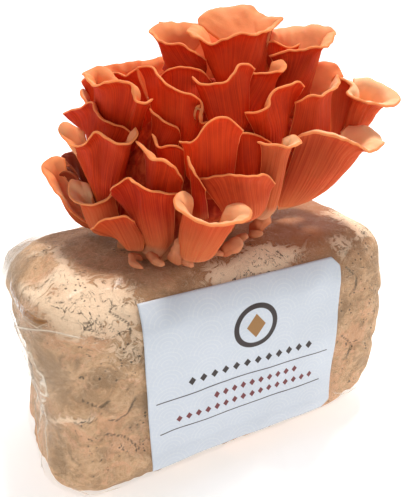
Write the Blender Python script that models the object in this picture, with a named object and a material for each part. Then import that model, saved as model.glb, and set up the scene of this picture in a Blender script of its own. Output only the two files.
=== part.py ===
"""Pink oyster mushroom grow kit: a bagged block of substrate with a cluster growing from its top.

The block, the film around it and the label on its front are worked out from one rounded box. The
cluster has a solid base that comes up through an opening in the film, and fluted mushrooms around
it. Each mushroom is one sheet that runs from a short stem at the base, through a narrow neck, to a
wavy rim whose lip turns outward.

Lengths are in millimetres until a mesh is made. The origin is the middle of the block's underside,
+Z is up and the label faces -Y. The cluster has a frame of its own, turned about Z: x runs across
its broad side, y away from the side it shows, and z up.
"""
import math
from dataclasses import dataclass, replace

import bpy
import numpy as np

MM = 0.001

# The block with its film
BLOCK_LENGTH = 205.0
BLOCK_DEPTH = 105.0
BLOCK_HEIGHT = 121.0
EDGE_RADIUS = 25.0
CORNER_SEGMENTS = 3
LONG_SIDE_POINTS = 5
SHORT_SIDE_POINTS = 3
SIDE_LEVELS = (75.0, 50.0)
SHOULDER_STEPS = (1.0, 0.45, 0.2, 0.07, 0.0)
BOTTOM_ANGLES = (0.0, 35.0, 65.0, 90.0)
END_FOLD_DEPTH = 5.0
END_FOLD_LEVEL = 52.0
END_FOLD_REACH = 30.0

# Sheets and the air between them
FILM = 0.4
GAP = 0.35
LABEL_THICKNESS = 0.3
LABEL_LEFT = -53.0
LABEL_RIGHT = 56.5
LABEL_CORNER_CUT = 4.5
LABEL_LEVELS = (16.0, 20.0, 25.0, 96.0, 101.0, 106.0, 111.0)

# The cluster's base: height, middle across and away, half width, half depth, turn in degrees
CLUSTER_TURN = -25.2
BASE_RINGS = (
    (120.5, -4, -15, 40, 24, 25),
    (130.0, -2, -12, 41, 25, 18),
    (145.0, 1, -8, 44, 24, 8),
    (160.0, 4, -4, 46, 20, 0),
    (172.0, 7, -2, 43, 15, 0),
    (182.0, 10, -1, 36, 11, 0),
    (190.0, 14, 0, 26, 8, 0),
    (197.0, 16, 1, 12, 5, 0),
)
BASE_SIDES = 20
BASE_CAP_RISE = 1.0
FOOT_RINGS = (0.8, 0.6)
FOOT_CLEARANCE = 0.45
OPENING_CLEARANCE = 1.0

# What all mushrooms share
STEM_THICKNESS = 3.6
RIM_THICKNESS = 1.8
ROOT_HALF_WIDTH = 3.5
ROOT_STAND_OFF = 4.0
BODY_ROWS = 4
COLUMNS = 9
SMALL_COLUMNS = 7
SMALL_RIM_POINTS = 6
FAR_SIDE_PIVOT = (3.0, -7.0, 0.0)


@dataclass(frozen=True)
class Mushroom:
    """One fruit body, in the cluster's frame.

    facing is the way its gills face, in degrees from the shown side, positive to the right. spread
    is the half angle of the arc that its neck makes, and lip the angle at which its rim climbs.
    flare bends the sheet up (positive) or out (negative) above the neck. drop is how far below the
    neck the stem meets the base, and stand_off how far outside the base it starts.
    """

    name: str
    facing: float
    spread: float
    lip: float
    neck: tuple
    width: float
    rim: tuple
    flare: float = 0.1
    drop: float = 10.0
    depth: float = 5.0
    stand_off: float = ROOT_STAND_OFF


NEAR_SIDE = (
    Mushroom("mushroom_front_1", -8, 110, 10, (-2, -51, 127), 7,
             ((-4, -47, 153), (-7, -48, 156), (-11, -53, 154), (-8, -60, 151), (-2, -64, 149),
              (4, -66, 147), (11, -65, 147), (18, -62, 147), (22, -57, 149), (19, -51, 151),
              (12, -49, 149)), flare=0.15, drop=1, stand_off=5),
    Mushroom("mushroom_front_2", -22, 80, 55, (-21, -42, 131), 7,
             ((-40, -37, 152), (-38, -42, 157), (-31, -44, 161), (-27, -49, 160), (-22, -51, 158),
              (-15, -50, 156), (-9, -46, 155)), drop=6),
    Mushroom("mushroom_front_3", -42, 70, 45, (-31, -42, 128), 5,
             ((-51, -38, 135), (-45, -44, 141), (-39, -47, 144), (-32, -47, 144), (-29, -44, 141)),
             flare=-0.1, drop=0),
    Mushroom("mushroom_front_4", -55, 100, 20, (-49, -27, 131), 9,
             ((-52, -20, 145), (-55, -16, 150), (-59, -15, 151), (-63, -16, 152), (-64, -20, 149),
              (-62, -26, 146), (-54, -32, 145), (-47, -36, 147), (-42, -36, 149),
              (-38, -33, 151)), drop=2),
    Mushroom("mushroom_front_5", -80, 90, 20, (-63, -7, 129), 8,
             ((-68, 0, 159), (-75, 2, 159), (-81, -2, 156), (-77, -9, 152), (-73, -14, 147),
              (-68, -17, 143), (-64, -18, 136)), drop=2),
    Mushroom("mushroom_front_9", -60, 65, 60, (-52, -2, 136.5), 6,
             ((-74, 10, 158), (-70, 7, 160.5), (-66, 4, 161.5), (-61, 1, 160.5), (-57, -4, 158)),
             flare=0.0, drop=6, depth=3),
    Mushroom("mushroom_front_6", 14, 75, 55, (21, -42, 144), 10,
             ((-1, -42, 160), (5, -45, 162), (12, -48, 163), (18, -50, 163), (24, -48, 163),
              (29, -44, 162), (34, -38, 156)), drop=6),
    Mushroom("mushroom_front_7", 40, 110, 30, (34, -30, 143), 3,
             ((25, -39, 175), (30, -42, 174), (37, -43, 173), (43, -39, 174), (45, -33, 174),
              (42, -29, 175), (37, -30, 174)), drop=6),
    Mushroom("mushroom_front_8", 52, 70, 25, (48, -17, 142), 13,
             ((44, -28, 174), (52, -32, 176), (60, -34, 175), (69, -34, 172), (78, -28, 167),
              (86, -20, 168), (87, -12, 169), (82, -4, 172), (75, 0, 172)),
             flare=-0.35, drop=4, depth=9),
    Mushroom("mushroom_middle_1", -52, 95, 35, (-46, -25, 147), 6,
             ((-54, -14, 175), (-58, -12, 177), (-63, -13, 179), (-65, -15, 176), (-62, -20, 173),
              (-57, -26, 171), (-51, -32, 173), (-45, -35, 179), (-40, -38, 177), (-35, -40, 175),
              (-30, -40, 175), (-26, -37, 178), (-27, -32, 180))),
    Mushroom("mushroom_middle_2", -22, 70, 20, (-17, -36, 150), 9,
             ((-27, -39, 176), (-23, -44, 173), (-20, -47, 170), (-15, -49, 169), (-12, -49, 167),
              (-8, -46, 163), (-7, -40, 159))),
    Mushroom("mushroom_middle_3", 4, 60, 60, (0, -44, 151), 3,
             ((-5, -47, 171), (-3, -49, 167), (-1, -49, 163), (3, -46, 156))),
    Mushroom("mushroom_middle_4", 2, 70, 60, (5, -36, 159), 11,
             ((-8, -39, 176), (-4, -43, 176), (-1, -45, 178), (3, -46, 183), (7, -46, 186),
              (12, -45, 186), (16, -43, 183), (19, -40, 180))),
    Mushroom("mushroom_middle_5", 20, 65, 60, (24, -29, 158), 9,
             ((14, -31, 174), (16, -33, 177), (21, -35, 178), (26, -35, 177), (29, -33, 175),
              (33, -30, 172))),
    Mushroom("mushroom_middle_6", -18, 70, 55, (-13, -33, 162), 6,
             ((-21, -31, 177), (-19, -34, 173), (-17, -36, 172), (-13, -37, 173), (-10, -37, 173),
              (-6, -35, 171))),
    Mushroom("mushroom_middle_7", -28, 60, 60, (-17, -25, 169), 8,
             ((-22, -26, 187), (-17, -30, 184), (-13, -32, 182), (-9, -32, 180), (-8, -29, 175))),
    Mushroom("mushroom_upper_1", -52, 80, 55, (-46, -17, 167), 4,
             ((-65, -2, 181), (-61, -6, 183), (-56, -11, 186), (-50, -16, 189), (-47, -21, 186),
              (-43, -25, 182), (-38, -28, 181), (-33, -29, 180), (-30, -28, 177))),
    Mushroom("mushroom_upper_2", -44, 95, 30, (-43, -8, 167), 10,
             ((-36, -16, 198), (-41, -12, 202), (-47, -10, 202), (-52, -14, 201), (-49, -22, 199),
              (-44, -28, 198), (-39, -32, 199), (-32, -34, 200), (-28, -35, 198), (-28, -36, 195),
              (-26, -37, 192), (-22, -36, 191), (-19, -33, 192)), drop=6, stand_off=5),
    Mushroom("mushroom_upper_3", -14, 75, 60, (-9, -23, 176), 12,
             ((-27, -14, 204), (-22, -19, 204), (-18, -24, 201), (-12, -29, 197), (-8, -31, 195),
              (-3, -32, 194), (1, -31, 191), (0, -31, 187), (1, -31, 182), (4, -28, 182))),
    Mushroom("mushroom_upper_4", -6, 75, 60, (-5, -18, 190), 11,
             ((-17, -12, 200), (-13, -16, 203), (-7, -18, 204), (-2, -18, 203), (3, -16, 201),
              (6, -12, 197))),
    Mushroom("mushroom_upper_5", 10, 70, 50, (14, -28, 181), 9,
             ((-3, -25, 200), (1, -29, 198), (6, -31, 198), (11, -32, 199), (15, -31, 202),
              (18, -29, 205), (22, -26, 205), (25, -22, 203))),
    Mushroom("mushroom_upper_6", 26, 100, 40, (27, -19, 186), 6,
             ((23, -17, 201), (28, -21, 201), (33, -21, 201), (38, -18, 202), (40, -13, 204),
              (38, -10, 206), (34, -9, 205))),
    Mushroom("mushroom_upper_7", 36, 70, 50, (35, -21, 174), 9,
             ((20, -31, 186), (25, -34, 187), (30, -34, 189), (31, -32, 192), (34, -30, 196),
              (39, -27, 197), (44, -23, 198), (48, -18, 195))),
    Mushroom("mushroom_upper_8", 38, 78, 35, (55, -11, 168), 13,
             ((43, -22, 189), (48, -26, 191), (55, -26, 192), (60, -21, 194), (64, -15, 196),
              (64, -9, 198)), flare=-0.2),
    Mushroom("mushroom_upper_9", 62, 84, 15, (77, 11.5, 163.5), 10.5,
             ((66, -2, 196), (70, 0, 195), (74, 0, 193), (71, -4, 190.5), (73, -8, 188.5),
              (79, -10, 186), (88, -10, 184.5), (96, -6, 185), (99, 0, 187), (95, 7, 191),
              (87, 11, 194.5), (78, 11, 195)), flare=0.0, stand_off=5),
    Mushroom("mushroom_upper_10", 150, 75, 50, (45.5, 8, 179.5), 6.5,
             ((71, 3, 197), (69, 7, 201), (64, 9, 203.5), (57, 10, 203.5), (51, 11, 203),
              (46, 11, 201)), flare=0.0, drop=6, depth=4),
    Mushroom("mushroom_upper_11", -30, 60, 65, (-29, -5, 180), 5,
             ((-44, -3, 200), (-38, -5, 201), (-34, -8, 199.5), (-31, -8, 201), (-28, -9, 203)),
             flare=0.0, drop=5, depth=3),
    Mushroom("mushroom_top_1", -26, 110, 20, (-7, -6, 202), 9,
             ((3, 10, 218), (-3, 12, 221), (-10, 9, 221), (-16, 4, 222), (-22, -2, 219),
              (-19, -9, 215), (-13, -12, 213), (-7, -14, 212), (0, -12, 209), (4, -8, 206))),
    Mushroom("mushroom_top_2", 8, 110, 15, (20, -10, 197), 8,
             ((0, 8, 221), (-5, -4, 218), (0, -10, 214), (6, -14, 213), (13, -16, 215),
              (20, -15, 217), (27, -13, 217), (33, -8, 218), (36, 0, 220), (39, 6, 222),
              (32, 12, 223), (27, 16, 227), (16, 18, 228), (6, 16, 226))),
    Mushroom("mushroom_top_3", 44, 110, 15, (48, -6, 190), 8,
             ((33, -4, 207), (40, -8, 209), (47, -11, 210), (54, -12, 211), (60, -8, 212),
              (64, 0, 215), (65, 8, 216), (61, 11, 219), (52, 13, 219), (44, 13, 218.5),
              (37, 13, 218), (31, 9, 214))),
    Mushroom("mushroom_top_4", 12, 60, 60, (40.4, 1.4, 196.3), 1.9,
             ((32, 0.5, 212.6), (35, -1.4, 213.4), (38.5, -2.2, 212), (42.1, -3, 211),
              (45.1, -2, 211), (48, -1, 212)), drop=8),
    Mushroom("mushroom_top_6", -172, 75, 50, (4.5, 8, 198.5), 6,
             ((16, 25, 219), (9, 23, 220), (2, 20.5, 221), (-5, 18.5, 221), (-12, 16.5, 221),
              (-19, 13, 222)), flare=0.0, drop=8, depth=3),
    Mushroom("mushroom_top_5", -160, 70, 45, (-32, 18, 193), 7,
             ((-8, 21, 207), (-16, 21, 206), (-23, 21, 205), (-30, 20, 204), (-37, 17, 202),
              (-43, 12, 201), (-47, 8, 201))),
)

# The far side repeats forms of the shown side: name, form, turn in degrees about the cluster's
# middle, step outward, scale across, lift, change of the neck's half width
FAR_SIDE = (
    ("mushroom_back_1", "mushroom_front_1", 182, 0, 1.0, 2, 0),
    ("mushroom_back_2", "mushroom_front_2", 176, 4, 1.0, 4, 0),
    ("mushroom_back_3", "mushroom_front_6", 196, 2, 1.0, 0, 0),
    ("mushroom_back_4", "mushroom_middle_2", 176, -1, 1.1, 0, 0),
    ("mushroom_back_5", "mushroom_middle_4", 180, 2, 1.0, 2, 0),
    ("mushroom_back_6", "mushroom_middle_5", 176, 0, 1.15, 4, 0),
    ("mushroom_back_7", "mushroom_upper_3", 183, 7, 0.95, 2, 0),
    ("mushroom_back_8", "mushroom_upper_5", 174.5, 2.5, 0.98, 1, -2),
    ("mushroom_back_9", "mushroom_upper_7", 203.6, 11, 0.91, 1.2, -3.8),
    ("mushroom_back_10", "mushroom_middle_1", 186, -2, 0.9, 2, -3),
    ("mushroom_back_11", "mushroom_front_7", 200, 1, 1.1, -2, 0),
    ("mushroom_back_13", "mushroom_front_4", 191, 6, 1.0, 4, 0),
)

# Colours of the photographed object, linear RGB
TIER_COLOURS = {
    "front": (0.72, 0.16, 0.06),
    "middle": (0.62, 0.09, 0.03),
    "upper": (0.70, 0.12, 0.045),
    "top": (0.78, 0.20, 0.09),
    "back": (0.72, 0.15, 0.06),
}


def clear_scene():
    """Remove whatever the scene holds."""
    for item in list(bpy.data.objects):
        bpy.data.objects.remove(item, do_unlink=True)


def principled(name, colour, roughness, coat=0.0):
    """A Principled material of one colour."""
    material = bpy.data.materials.new(name)
    material.use_nodes = True
    shader = material.node_tree.nodes["Principled BSDF"]
    shader.inputs["Base Color"].default_value = (*colour, 1.0)
    shader.inputs["Roughness"].default_value = roughness
    shader.inputs["Coat Weight"].default_value = coat
    return material


def add_object(name, points, faces, material, turn=0.0, smooth=False):
    """Make a mesh object from points in millimetres, turned about Z by turn degrees."""
    mesh = bpy.data.meshes.new(name)
    mesh.from_pydata([tuple(float(value) * MM for value in point) for point in points], [], faces)
    if smooth:
        mesh.shade_smooth()
    mesh.materials.append(material)
    item = bpy.data.objects.new(name, mesh)
    item.rotation_euler.z = math.radians(turn)
    bpy.context.scene.collection.objects.link(item)
    return item


def band(lower, upper):
    """Triangles between two equally long closed rings of vertex numbers."""
    faces = []
    count = len(lower)
    for index in range(count):
        after = (index + 1) % count
        faces.append((lower[index], lower[after], upper[after]))
        faces.append((lower[index], upper[after], upper[index]))
    return faces


def cap(ring, middle, upward):
    """Triangles from a closed ring to a middle vertex, facing up or down."""
    faces = []
    for index, vertex in enumerate(ring):
        after = ring[(index + 1) % len(ring)]
        faces.append((vertex, after, middle) if upward else (after, vertex, middle))
    return faces


# ---------------------------------------------------------------- block, film and label


def outline():
    """The block's plan as (core, direction) pairs, counter-clockwise.

    A point of the plan is core + distance * direction, with the corner radius as the distance.
    """
    reach_x = BLOCK_LENGTH / 2 - EDGE_RADIUS
    reach_y = BLOCK_DEPTH / 2 - EDGE_RADIUS
    corners = ((reach_x, -reach_y, -90), (reach_x, reach_y, 0),
               (-reach_x, reach_y, 90), (-reach_x, -reach_y, 180))
    side_points = (SHORT_SIDE_POINTS, LONG_SIDE_POINTS) * 2
    pairs = []
    for number, (x, y, start) in enumerate(corners):
        for step in range(CORNER_SEGMENTS + 1):
            angle = math.radians(start + 90 * step / CORNER_SEGMENTS)
            pairs.append(((x, y), (math.cos(angle), math.sin(angle))))
        next_x, next_y, _ = corners[(number + 1) % len(corners)]
        direction = pairs[-1][1]
        for step in range(1, side_points[number] + 1):
            share = step / (side_points[number] + 1)
            core = (x + (next_x - x) * share, y + (next_y - y) * share)
            pairs.append((core, direction))
    return pairs


def surface_height(x, y, inset):
    """Height of the rounded box's upper side, taken inset millimetres inside the film."""
    over_x = max(abs(x) - (BLOCK_LENGTH / 2 - EDGE_RADIUS), 0.0)
    over_y = max(abs(y) - (BLOCK_DEPTH / 2 - EDGE_RADIUS), 0.0)
    radius = EDGE_RADIUS - inset
    return BLOCK_HEIGHT - EDGE_RADIUS + math.sqrt(max(radius ** 2 - over_x ** 2 - over_y ** 2, 0))


def end_fold(x, z):
    """How far the gusset fold presses the block's left end in at a point."""
    level = max(1 - abs(z - END_FOLD_LEVEL) / END_FOLD_REACH, 0.0)
    end = max(-x - (BLOCK_LENGTH / 2 - EDGE_RADIUS), 0.0) / EDGE_RADIUS
    return END_FOLD_DEPTH * level * end


def base_ellipse(growth):
    """Middle, half sizes and turn in radians of the base's lowest ring, in the block's frame."""
    _, across, away, half_width, half_depth, turn = BASE_RINGS[0]
    angle = math.radians(CLUSTER_TURN)
    middle = np.array((across * math.cos(angle) - away * math.sin(angle),
                       across * math.sin(angle) + away * math.cos(angle)))
    return middle, half_width + growth, half_depth + growth, angle + math.radians(turn)


def on_ellipse(point, ellipse):
    """Where the ray from the ellipse's middle through a plan point crosses the ellipse."""
    middle, half_width, half_depth, turn = ellipse
    offset = np.asarray(point) - middle
    along = offset[0] * math.cos(turn) + offset[1] * math.sin(turn)
    across = -offset[0] * math.sin(turn) + offset[1] * math.cos(turn)
    return middle + offset / math.hypot(along / half_width, across / half_depth)


def block_rings(inset, opening):
    """Rings of points round the box, from the opening down to the flat underside."""
    plan = outline()
    radius = EDGE_RADIUS - inset
    rings = []
    for share in SHOULDER_STEPS:
        ring = []
        for core, direction in plan:
            edge = np.add(core, np.multiply(direction, radius))
            x, y = edge + (on_ellipse(edge, opening) - edge) * share
            ring.append((x, y, surface_height(x, y, inset)))
        rings.append(ring)
    for level in SIDE_LEVELS:
        ring = []
        for core, direction in plan:
            x, y = np.add(core, np.multiply(direction, radius))
            ring.append((x + end_fold(x, level), y, level))
        rings.append(ring)
    for degrees in BOTTOM_ANGLES:
        angle = math.radians(degrees)
        reach = radius * math.cos(angle)
        level = EDGE_RADIUS - radius * math.sin(angle)
        rings.append([(*np.add(core, np.multiply(direction, reach)), level)
                      for core, direction in plan])
    return rings


def numbered(rings, first=0):
    """Vertex numbers of equally long rings that are stored one after another."""
    count = len(rings[0])
    return [[first + row * count + index for index in range(count)] for row in range(len(rings))]


def build_block():
    """The substrate: the box inside the film, closed under the base's foot."""
    inset = FILM + GAP
    ellipse = base_ellipse(OPENING_CLEARANCE)
    rings = block_rings(inset, ellipse)
    middle = ellipse[0]
    points = [point for ring in rings for point in ring]
    numbers = numbered(rings)
    faces = []
    for upper, lower in zip(numbers, numbers[1:]):
        faces += band(lower, upper)
    points.append((*middle, surface_height(*middle, inset)))
    faces += cap(numbers[0], len(points) - 1, True)
    points.append((0.0, 0.0, inset))
    faces += cap(numbers[-1], len(points) - 1, False)
    add_object("substrate_block", points, faces,
               principled("substrate", (0.52, 0.33, 0.18), 0.85), smooth=True)


def build_bag():
    """The film: a skin round the block, open where the cluster comes out."""
    ellipse = base_ellipse(OPENING_CLEARANCE)
    outer = block_rings(0.0, ellipse)
    inner = block_rings(FILM, ellipse)
    points = [point for ring in outer + inner for point in ring]
    outer_numbers = numbered(outer)
    inner_numbers = numbered(inner, len(outer) * len(outer[0]))
    faces = []
    for upper, lower in zip(outer_numbers, outer_numbers[1:]):
        faces += band(lower, upper)
    for upper, lower in zip(inner_numbers, inner_numbers[1:]):
        faces += [face[::-1] for face in band(lower, upper)]
    faces += band(outer_numbers[0], inner_numbers[0])
    points.append((0.0, 0.0, 0.0))
    faces += cap(outer_numbers[-1], len(points) - 1, False)
    points.append((0.0, 0.0, FILM))
    faces += cap(inner_numbers[-1], len(points) - 1, True)
    add_object("grow_bag", points, faces,
               principled("film", (0.62, 0.43, 0.26), 0.25, coat=0.8), smooth=True)


def front_profile(stand_off):
    """Points (y, z) up the box's front, stand_off millimetres in front of the film."""
    profile = []
    for level in LABEL_LEVELS:
        over = max(level - (BLOCK_HEIGHT - EDGE_RADIUS), EDGE_RADIUS - level, 0.0)
        lean = math.asin(over / EDGE_RADIUS)
        side = 1 if level > EDGE_RADIUS else -1
        reach = EDGE_RADIUS + stand_off
        y = -(BLOCK_DEPTH / 2 - EDGE_RADIUS) - reach * math.cos(lean)
        profile.append((y, level + side * stand_off * math.sin(lean)))
    return profile


def label_right(level):
    """The label's right edge at a level; its corners at this end are cut off."""
    from_corner = min(level - LABEL_LEVELS[0], LABEL_LEVELS[-1] - level)
    return LABEL_RIGHT - max(LABEL_CORNER_CUT - from_corner, 0.0)


def build_label():
    """The paper label, which follows the film over both rounded edges of the front."""
    back = front_profile(GAP)
    front = front_profile(GAP + LABEL_THICKNESS)
    section = back + front[::-1]
    levels = LABEL_LEVELS + LABEL_LEVELS[::-1]
    points = [(LABEL_LEFT, y, z) for y, z in section]
    points += [(label_right(level), y, z) for level, (y, z) in zip(levels, section)]
    count = len(section)
    last = len(back) - 1
    faces = band(list(range(count)), list(range(count, 2 * count)))
    for row in range(last):
        ahead = count - 1 - row
        faces.append((row, ahead, row + 1))
        faces.append((row + 1, ahead, ahead - 1))
        faces.append((count + row, count + row + 1, count + ahead))
        faces.append((count + row + 1, count + ahead - 1, count + ahead))
    add_object("label", points, faces, principled("label_paper", (0.52, 0.56, 0.60), 0.6))


# ---------------------------------------------------------------- cluster


def base_section(height):
    """The base's middle, half sizes and turn in radians at a height, in the cluster's frame."""
    rings = np.array(BASE_RINGS, dtype=float)
    values = [float(np.interp(height, rings[:, 0], rings[:, column])) for column in range(1, 6)]
    return np.array(values[:2]), values[2], values[3], math.radians(values[4])


def build_base():
    """The solid base in the cluster's middle, from its foot on the block to its blunt top."""
    turn = math.radians(CLUSTER_TURN)
    rings = []
    for share in FOOT_RINGS[::-1] + (1.0,):
        rings.append(base_ring(BASE_RINGS[0][0], share))
    for height, *_ in BASE_RINGS[1:]:
        rings.append(base_ring(height, 1.0))
    for ring in rings[:len(FOOT_RINGS) + 1]:
        for point in ring:
            x = point[0] * math.cos(turn) - point[1] * math.sin(turn)
            y = point[0] * math.sin(turn) + point[1] * math.cos(turn)
            point[2] = surface_height(x, y, FILM + GAP) + FOOT_CLEARANCE
    points = [point for ring in rings for point in ring]
    numbers = numbered(rings)
    faces = []
    for lower, upper in zip(numbers, numbers[1:]):
        faces += band(lower, upper)
    foot, _, _, _ = base_section(BASE_RINGS[0][0])
    points.append((*foot, BLOCK_HEIGHT - FILM - GAP + FOOT_CLEARANCE))
    faces += cap(numbers[0], len(points) - 1, False)
    top, _, _, _ = base_section(BASE_RINGS[-1][0])
    points.append((*top, BASE_RINGS[-1][0] + BASE_CAP_RISE))
    faces += cap(numbers[-1], len(points) - 1, True)
    add_object("cluster_base", points, faces,
               principled("cluster_base_flesh", (0.42, 0.09, 0.04), 0.7),
               turn=CLUSTER_TURN, smooth=True)


def base_ring(height, share):
    """Points round the base at a height, on an ellipse of a share of its size."""
    middle, half_width, half_depth, turn = base_section(height)
    ring = []
    for index in range(BASE_SIDES):
        angle = 2 * math.pi * index / BASE_SIDES
        x = half_width * share * math.cos(angle)
        y = half_depth * share * math.sin(angle)
        ring.append([middle[0] + x * math.cos(turn) - y * math.sin(turn),
                     middle[1] + x * math.sin(turn) + y * math.cos(turn), height])
    return ring


def heading(degrees):
    """The level direction that a mushroom with this facing looks in."""
    angle = math.radians(degrees)
    return np.array((math.sin(angle), -math.cos(angle), 0.0))


def unit(vectors):
    """Vectors scaled to length one, along the last axis."""
    return vectors / np.linalg.norm(vectors, axis=-1, keepdims=True)


def smooth_curve(points, count):
    """Evenly spaced points on a centripetal Catmull-Rom curve through the given points."""
    knots = np.array(points, dtype=float)
    steps = np.sqrt(np.linalg.norm(np.diff(knots, axis=0), axis=1))
    slopes = np.diff(knots, axis=0) / steps[:, None]
    tangents = np.empty_like(knots)
    tangents[0] = slopes[0]
    tangents[-1] = slopes[-1]
    before = steps[:-1, None]
    after = steps[1:, None]
    tangents[1:-1] = (slopes[:-1] * after + slopes[1:] * before) / (before + after)
    pieces = []
    for index, step in enumerate(steps):
        t = np.linspace(0, 1, 40)[:, None]
        pieces.append((2 * t ** 3 - 3 * t ** 2 + 1) * knots[index]
                      + (t ** 3 - 2 * t ** 2 + t) * step * tangents[index]
                      + (3 * t ** 2 - 2 * t ** 3) * knots[index + 1]
                      + (t ** 3 - t ** 2) * step * tangents[index + 1])
    fine = np.concatenate(pieces)
    lengths = np.r_[0, np.cumsum(np.linalg.norm(np.diff(fine, axis=0), axis=1))]
    wanted = np.linspace(0, lengths[-1], count)
    return np.stack([np.interp(wanted, lengths, fine[:, axis]) for axis in range(3)], axis=1)


def root_of(mushroom):
    """Where a mushroom's stem starts: below its neck, just outside the base."""
    x, y, z = mushroom.neck
    height = z - mushroom.drop
    middle, half_width, half_depth, turn = base_section(height)
    ellipse = (middle, half_width + mushroom.stand_off, half_depth + mushroom.stand_off, turn)
    return np.array((*on_ellipse((x, y), ellipse), height))


def sheet(mushroom, columns):
    """The mushroom's middle surface: rows from root to rim, columns from its left to its right."""
    up = np.array((0.0, 0.0, 1.0))
    front = heading(mushroom.facing)
    side = np.cross(up, front)
    angles = math.radians(mushroom.spread) * np.linspace(-1, 1, columns)
    radial = np.outer(np.cos(angles), front) + np.outer(np.sin(angles), side)

    def arc(centre, half_width, half_depth):
        return (centre + half_depth * np.outer(np.cos(angles) - 0.5, front)
                + half_width * np.outer(np.sin(angles), side))

    neck = np.array(mushroom.neck, dtype=float)
    neck_depth = min(mushroom.width, mushroom.depth)
    start = arc(neck, mushroom.width, neck_depth)
    rim = smooth_curve(mushroom.rim, columns)
    outward = unit(np.cross(np.gradient(rim, axis=0), up))
    outward = 0.6 * outward + 0.4 * radial
    outward[1:-1] = (outward[:-2] + 2 * outward[1:-1] + outward[2:]) / 4
    climb = math.radians(mushroom.lip)
    lip = unit(outward) * math.cos(climb) + up * math.sin(climb)
    span = np.linalg.norm(rim - start, axis=1)[:, None]
    rise = unit((rim - start) / span + up * mushroom.flare)
    lower_handle = start + rise * 0.42 * span
    upper_handle = rim - lip * 0.26 * span
    t = np.linspace(0, 1, BODY_ROWS)[:, None, None]
    body = ((1 - t) ** 3 * start + 3 * (1 - t) ** 2 * t * lower_handle
            + 3 * (1 - t) * t ** 2 * upper_handle + t ** 3 * rim)
    root = arc(root_of(mushroom), ROOT_HALF_WIDTH, min(ROOT_HALF_WIDTH, neck_depth))
    return np.concatenate([root[None], body])


def thicken(surface):
    """Points and triangles of the closed body round a sheet, thick at the root, thin at the rim."""
    rows, columns, _ = surface.shape
    normals = unit(np.cross(np.gradient(surface, axis=1), np.gradient(surface, axis=0)))
    fall = (1 - np.linspace(0, 1, rows)[:, None, None]) ** 1.5
    half = (RIM_THICKNESS + (STEM_THICKNESS - RIM_THICKNESS) * fall) / 2
    points = np.concatenate([(surface + normals * half).reshape(-1, 3),
                             (surface - normals * half).reshape(-1, 3)])
    outer = np.arange(rows * columns).reshape(rows, columns)
    inner = outer + rows * columns
    faces = []
    for row in range(rows - 1):
        for column in range(columns - 1):
            near = slice(column, column + 2)
            a, b = outer[row, near]
            d, c = outer[row + 1, near]
            faces += [(a, b, c), (a, c, d)]
            a, b = inner[row, near]
            d, c = inner[row + 1, near]
            faces += [(a, c, b), (a, d, c)]
    border = [*outer[0, :-1], *outer[:-1, -1], *outer[-1, :0:-1], *outer[:0:-1, 0]]
    inside = [*inner[0, :-1], *inner[:-1, -1], *inner[-1, :0:-1], *inner[:0:-1, 0]]
    faces += band(inside, border)
    return points, [tuple(int(vertex) for vertex in face) for face in faces]


def far_mushroom(name, form, turn, outward, scale, lift, widening):
    """A mushroom of the far side: a form of the shown side, turned about the cluster's middle."""
    pivot = np.array(FAR_SIDE_PIVOT)
    angle = math.radians(turn)
    rotation = np.array(((math.cos(angle), -math.sin(angle), 0.0),
                         (math.sin(angle), math.cos(angle), 0.0), (0.0, 0.0, 1.0)))
    facing = form.facing + turn
    shift = pivot + heading(facing) * outward + np.array((0.0, 0.0, lift))

    def moved(point):
        return tuple(rotation @ ((np.array(point) - pivot) * (scale, scale, 1.0)) + shift)

    return replace(form, name=name, facing=facing, neck=moved(form.neck),
                   rim=tuple(moved(point) for point in form.rim), width=form.width + widening)


def build_mushrooms():
    """Every mushroom of the cluster, one object each."""
    forms = {mushroom.name: mushroom for mushroom in NEAR_SIDE}
    cluster = list(NEAR_SIDE)
    for name, form, *placing in FAR_SIDE:
        cluster.append(far_mushroom(name, forms[form], *placing))
    for mushroom in cluster:
        small = len(mushroom.rim) <= SMALL_RIM_POINTS
        surface = sheet(mushroom, SMALL_COLUMNS if small else COLUMNS)
        points, faces = thicken(surface)
        tier = mushroom.name.split("_")[1]
        add_object(mushroom.name, points, faces,
                   principled(mushroom.name + "_flesh", TIER_COLOURS[tier], 0.6),
                   turn=CLUSTER_TURN, smooth=True)


def main():
    clear_scene()
    build_block()
    build_bag()
    build_label()
    build_base()
    build_mushrooms()


main()
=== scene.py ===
"""The looks of a pink oyster mushroom grow kit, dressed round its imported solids.

Lengths are in millimetres until a mesh is made. The block's frame has its origin in the middle of
the block's underside, +Z up and the label towards -Y. The cluster's frame is turned about Z: x runs
across its broad side, y away from the side that it shows.
"""
import logging
import math
from dataclasses import dataclass, field, replace
from enum import Enum

import bpy
import numpy as np
from mathutils import Matrix


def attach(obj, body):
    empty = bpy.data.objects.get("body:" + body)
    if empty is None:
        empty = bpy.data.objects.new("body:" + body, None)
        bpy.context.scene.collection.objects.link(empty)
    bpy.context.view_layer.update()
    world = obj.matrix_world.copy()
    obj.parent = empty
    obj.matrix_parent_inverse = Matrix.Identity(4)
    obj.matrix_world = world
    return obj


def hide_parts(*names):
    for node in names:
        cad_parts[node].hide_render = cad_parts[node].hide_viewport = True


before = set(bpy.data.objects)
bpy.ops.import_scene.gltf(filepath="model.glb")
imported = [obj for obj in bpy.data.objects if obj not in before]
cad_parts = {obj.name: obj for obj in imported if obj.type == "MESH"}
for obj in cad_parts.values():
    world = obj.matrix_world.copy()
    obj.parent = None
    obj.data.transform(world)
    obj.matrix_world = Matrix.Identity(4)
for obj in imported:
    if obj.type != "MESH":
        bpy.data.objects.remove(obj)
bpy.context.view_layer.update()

MM = 0.001
BODY = "root"
UP = np.array((0.0, 0.0, 1.0))
VIEW_TURN = 25.2  # degrees about Z, from the block's frame to the side that the photo shows
FLESH_SCATTER = (1.0, 0.22, 0.10)
FLESH_SHINE = 0.12
LOG = logging.getLogger("grow_kit")


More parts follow.
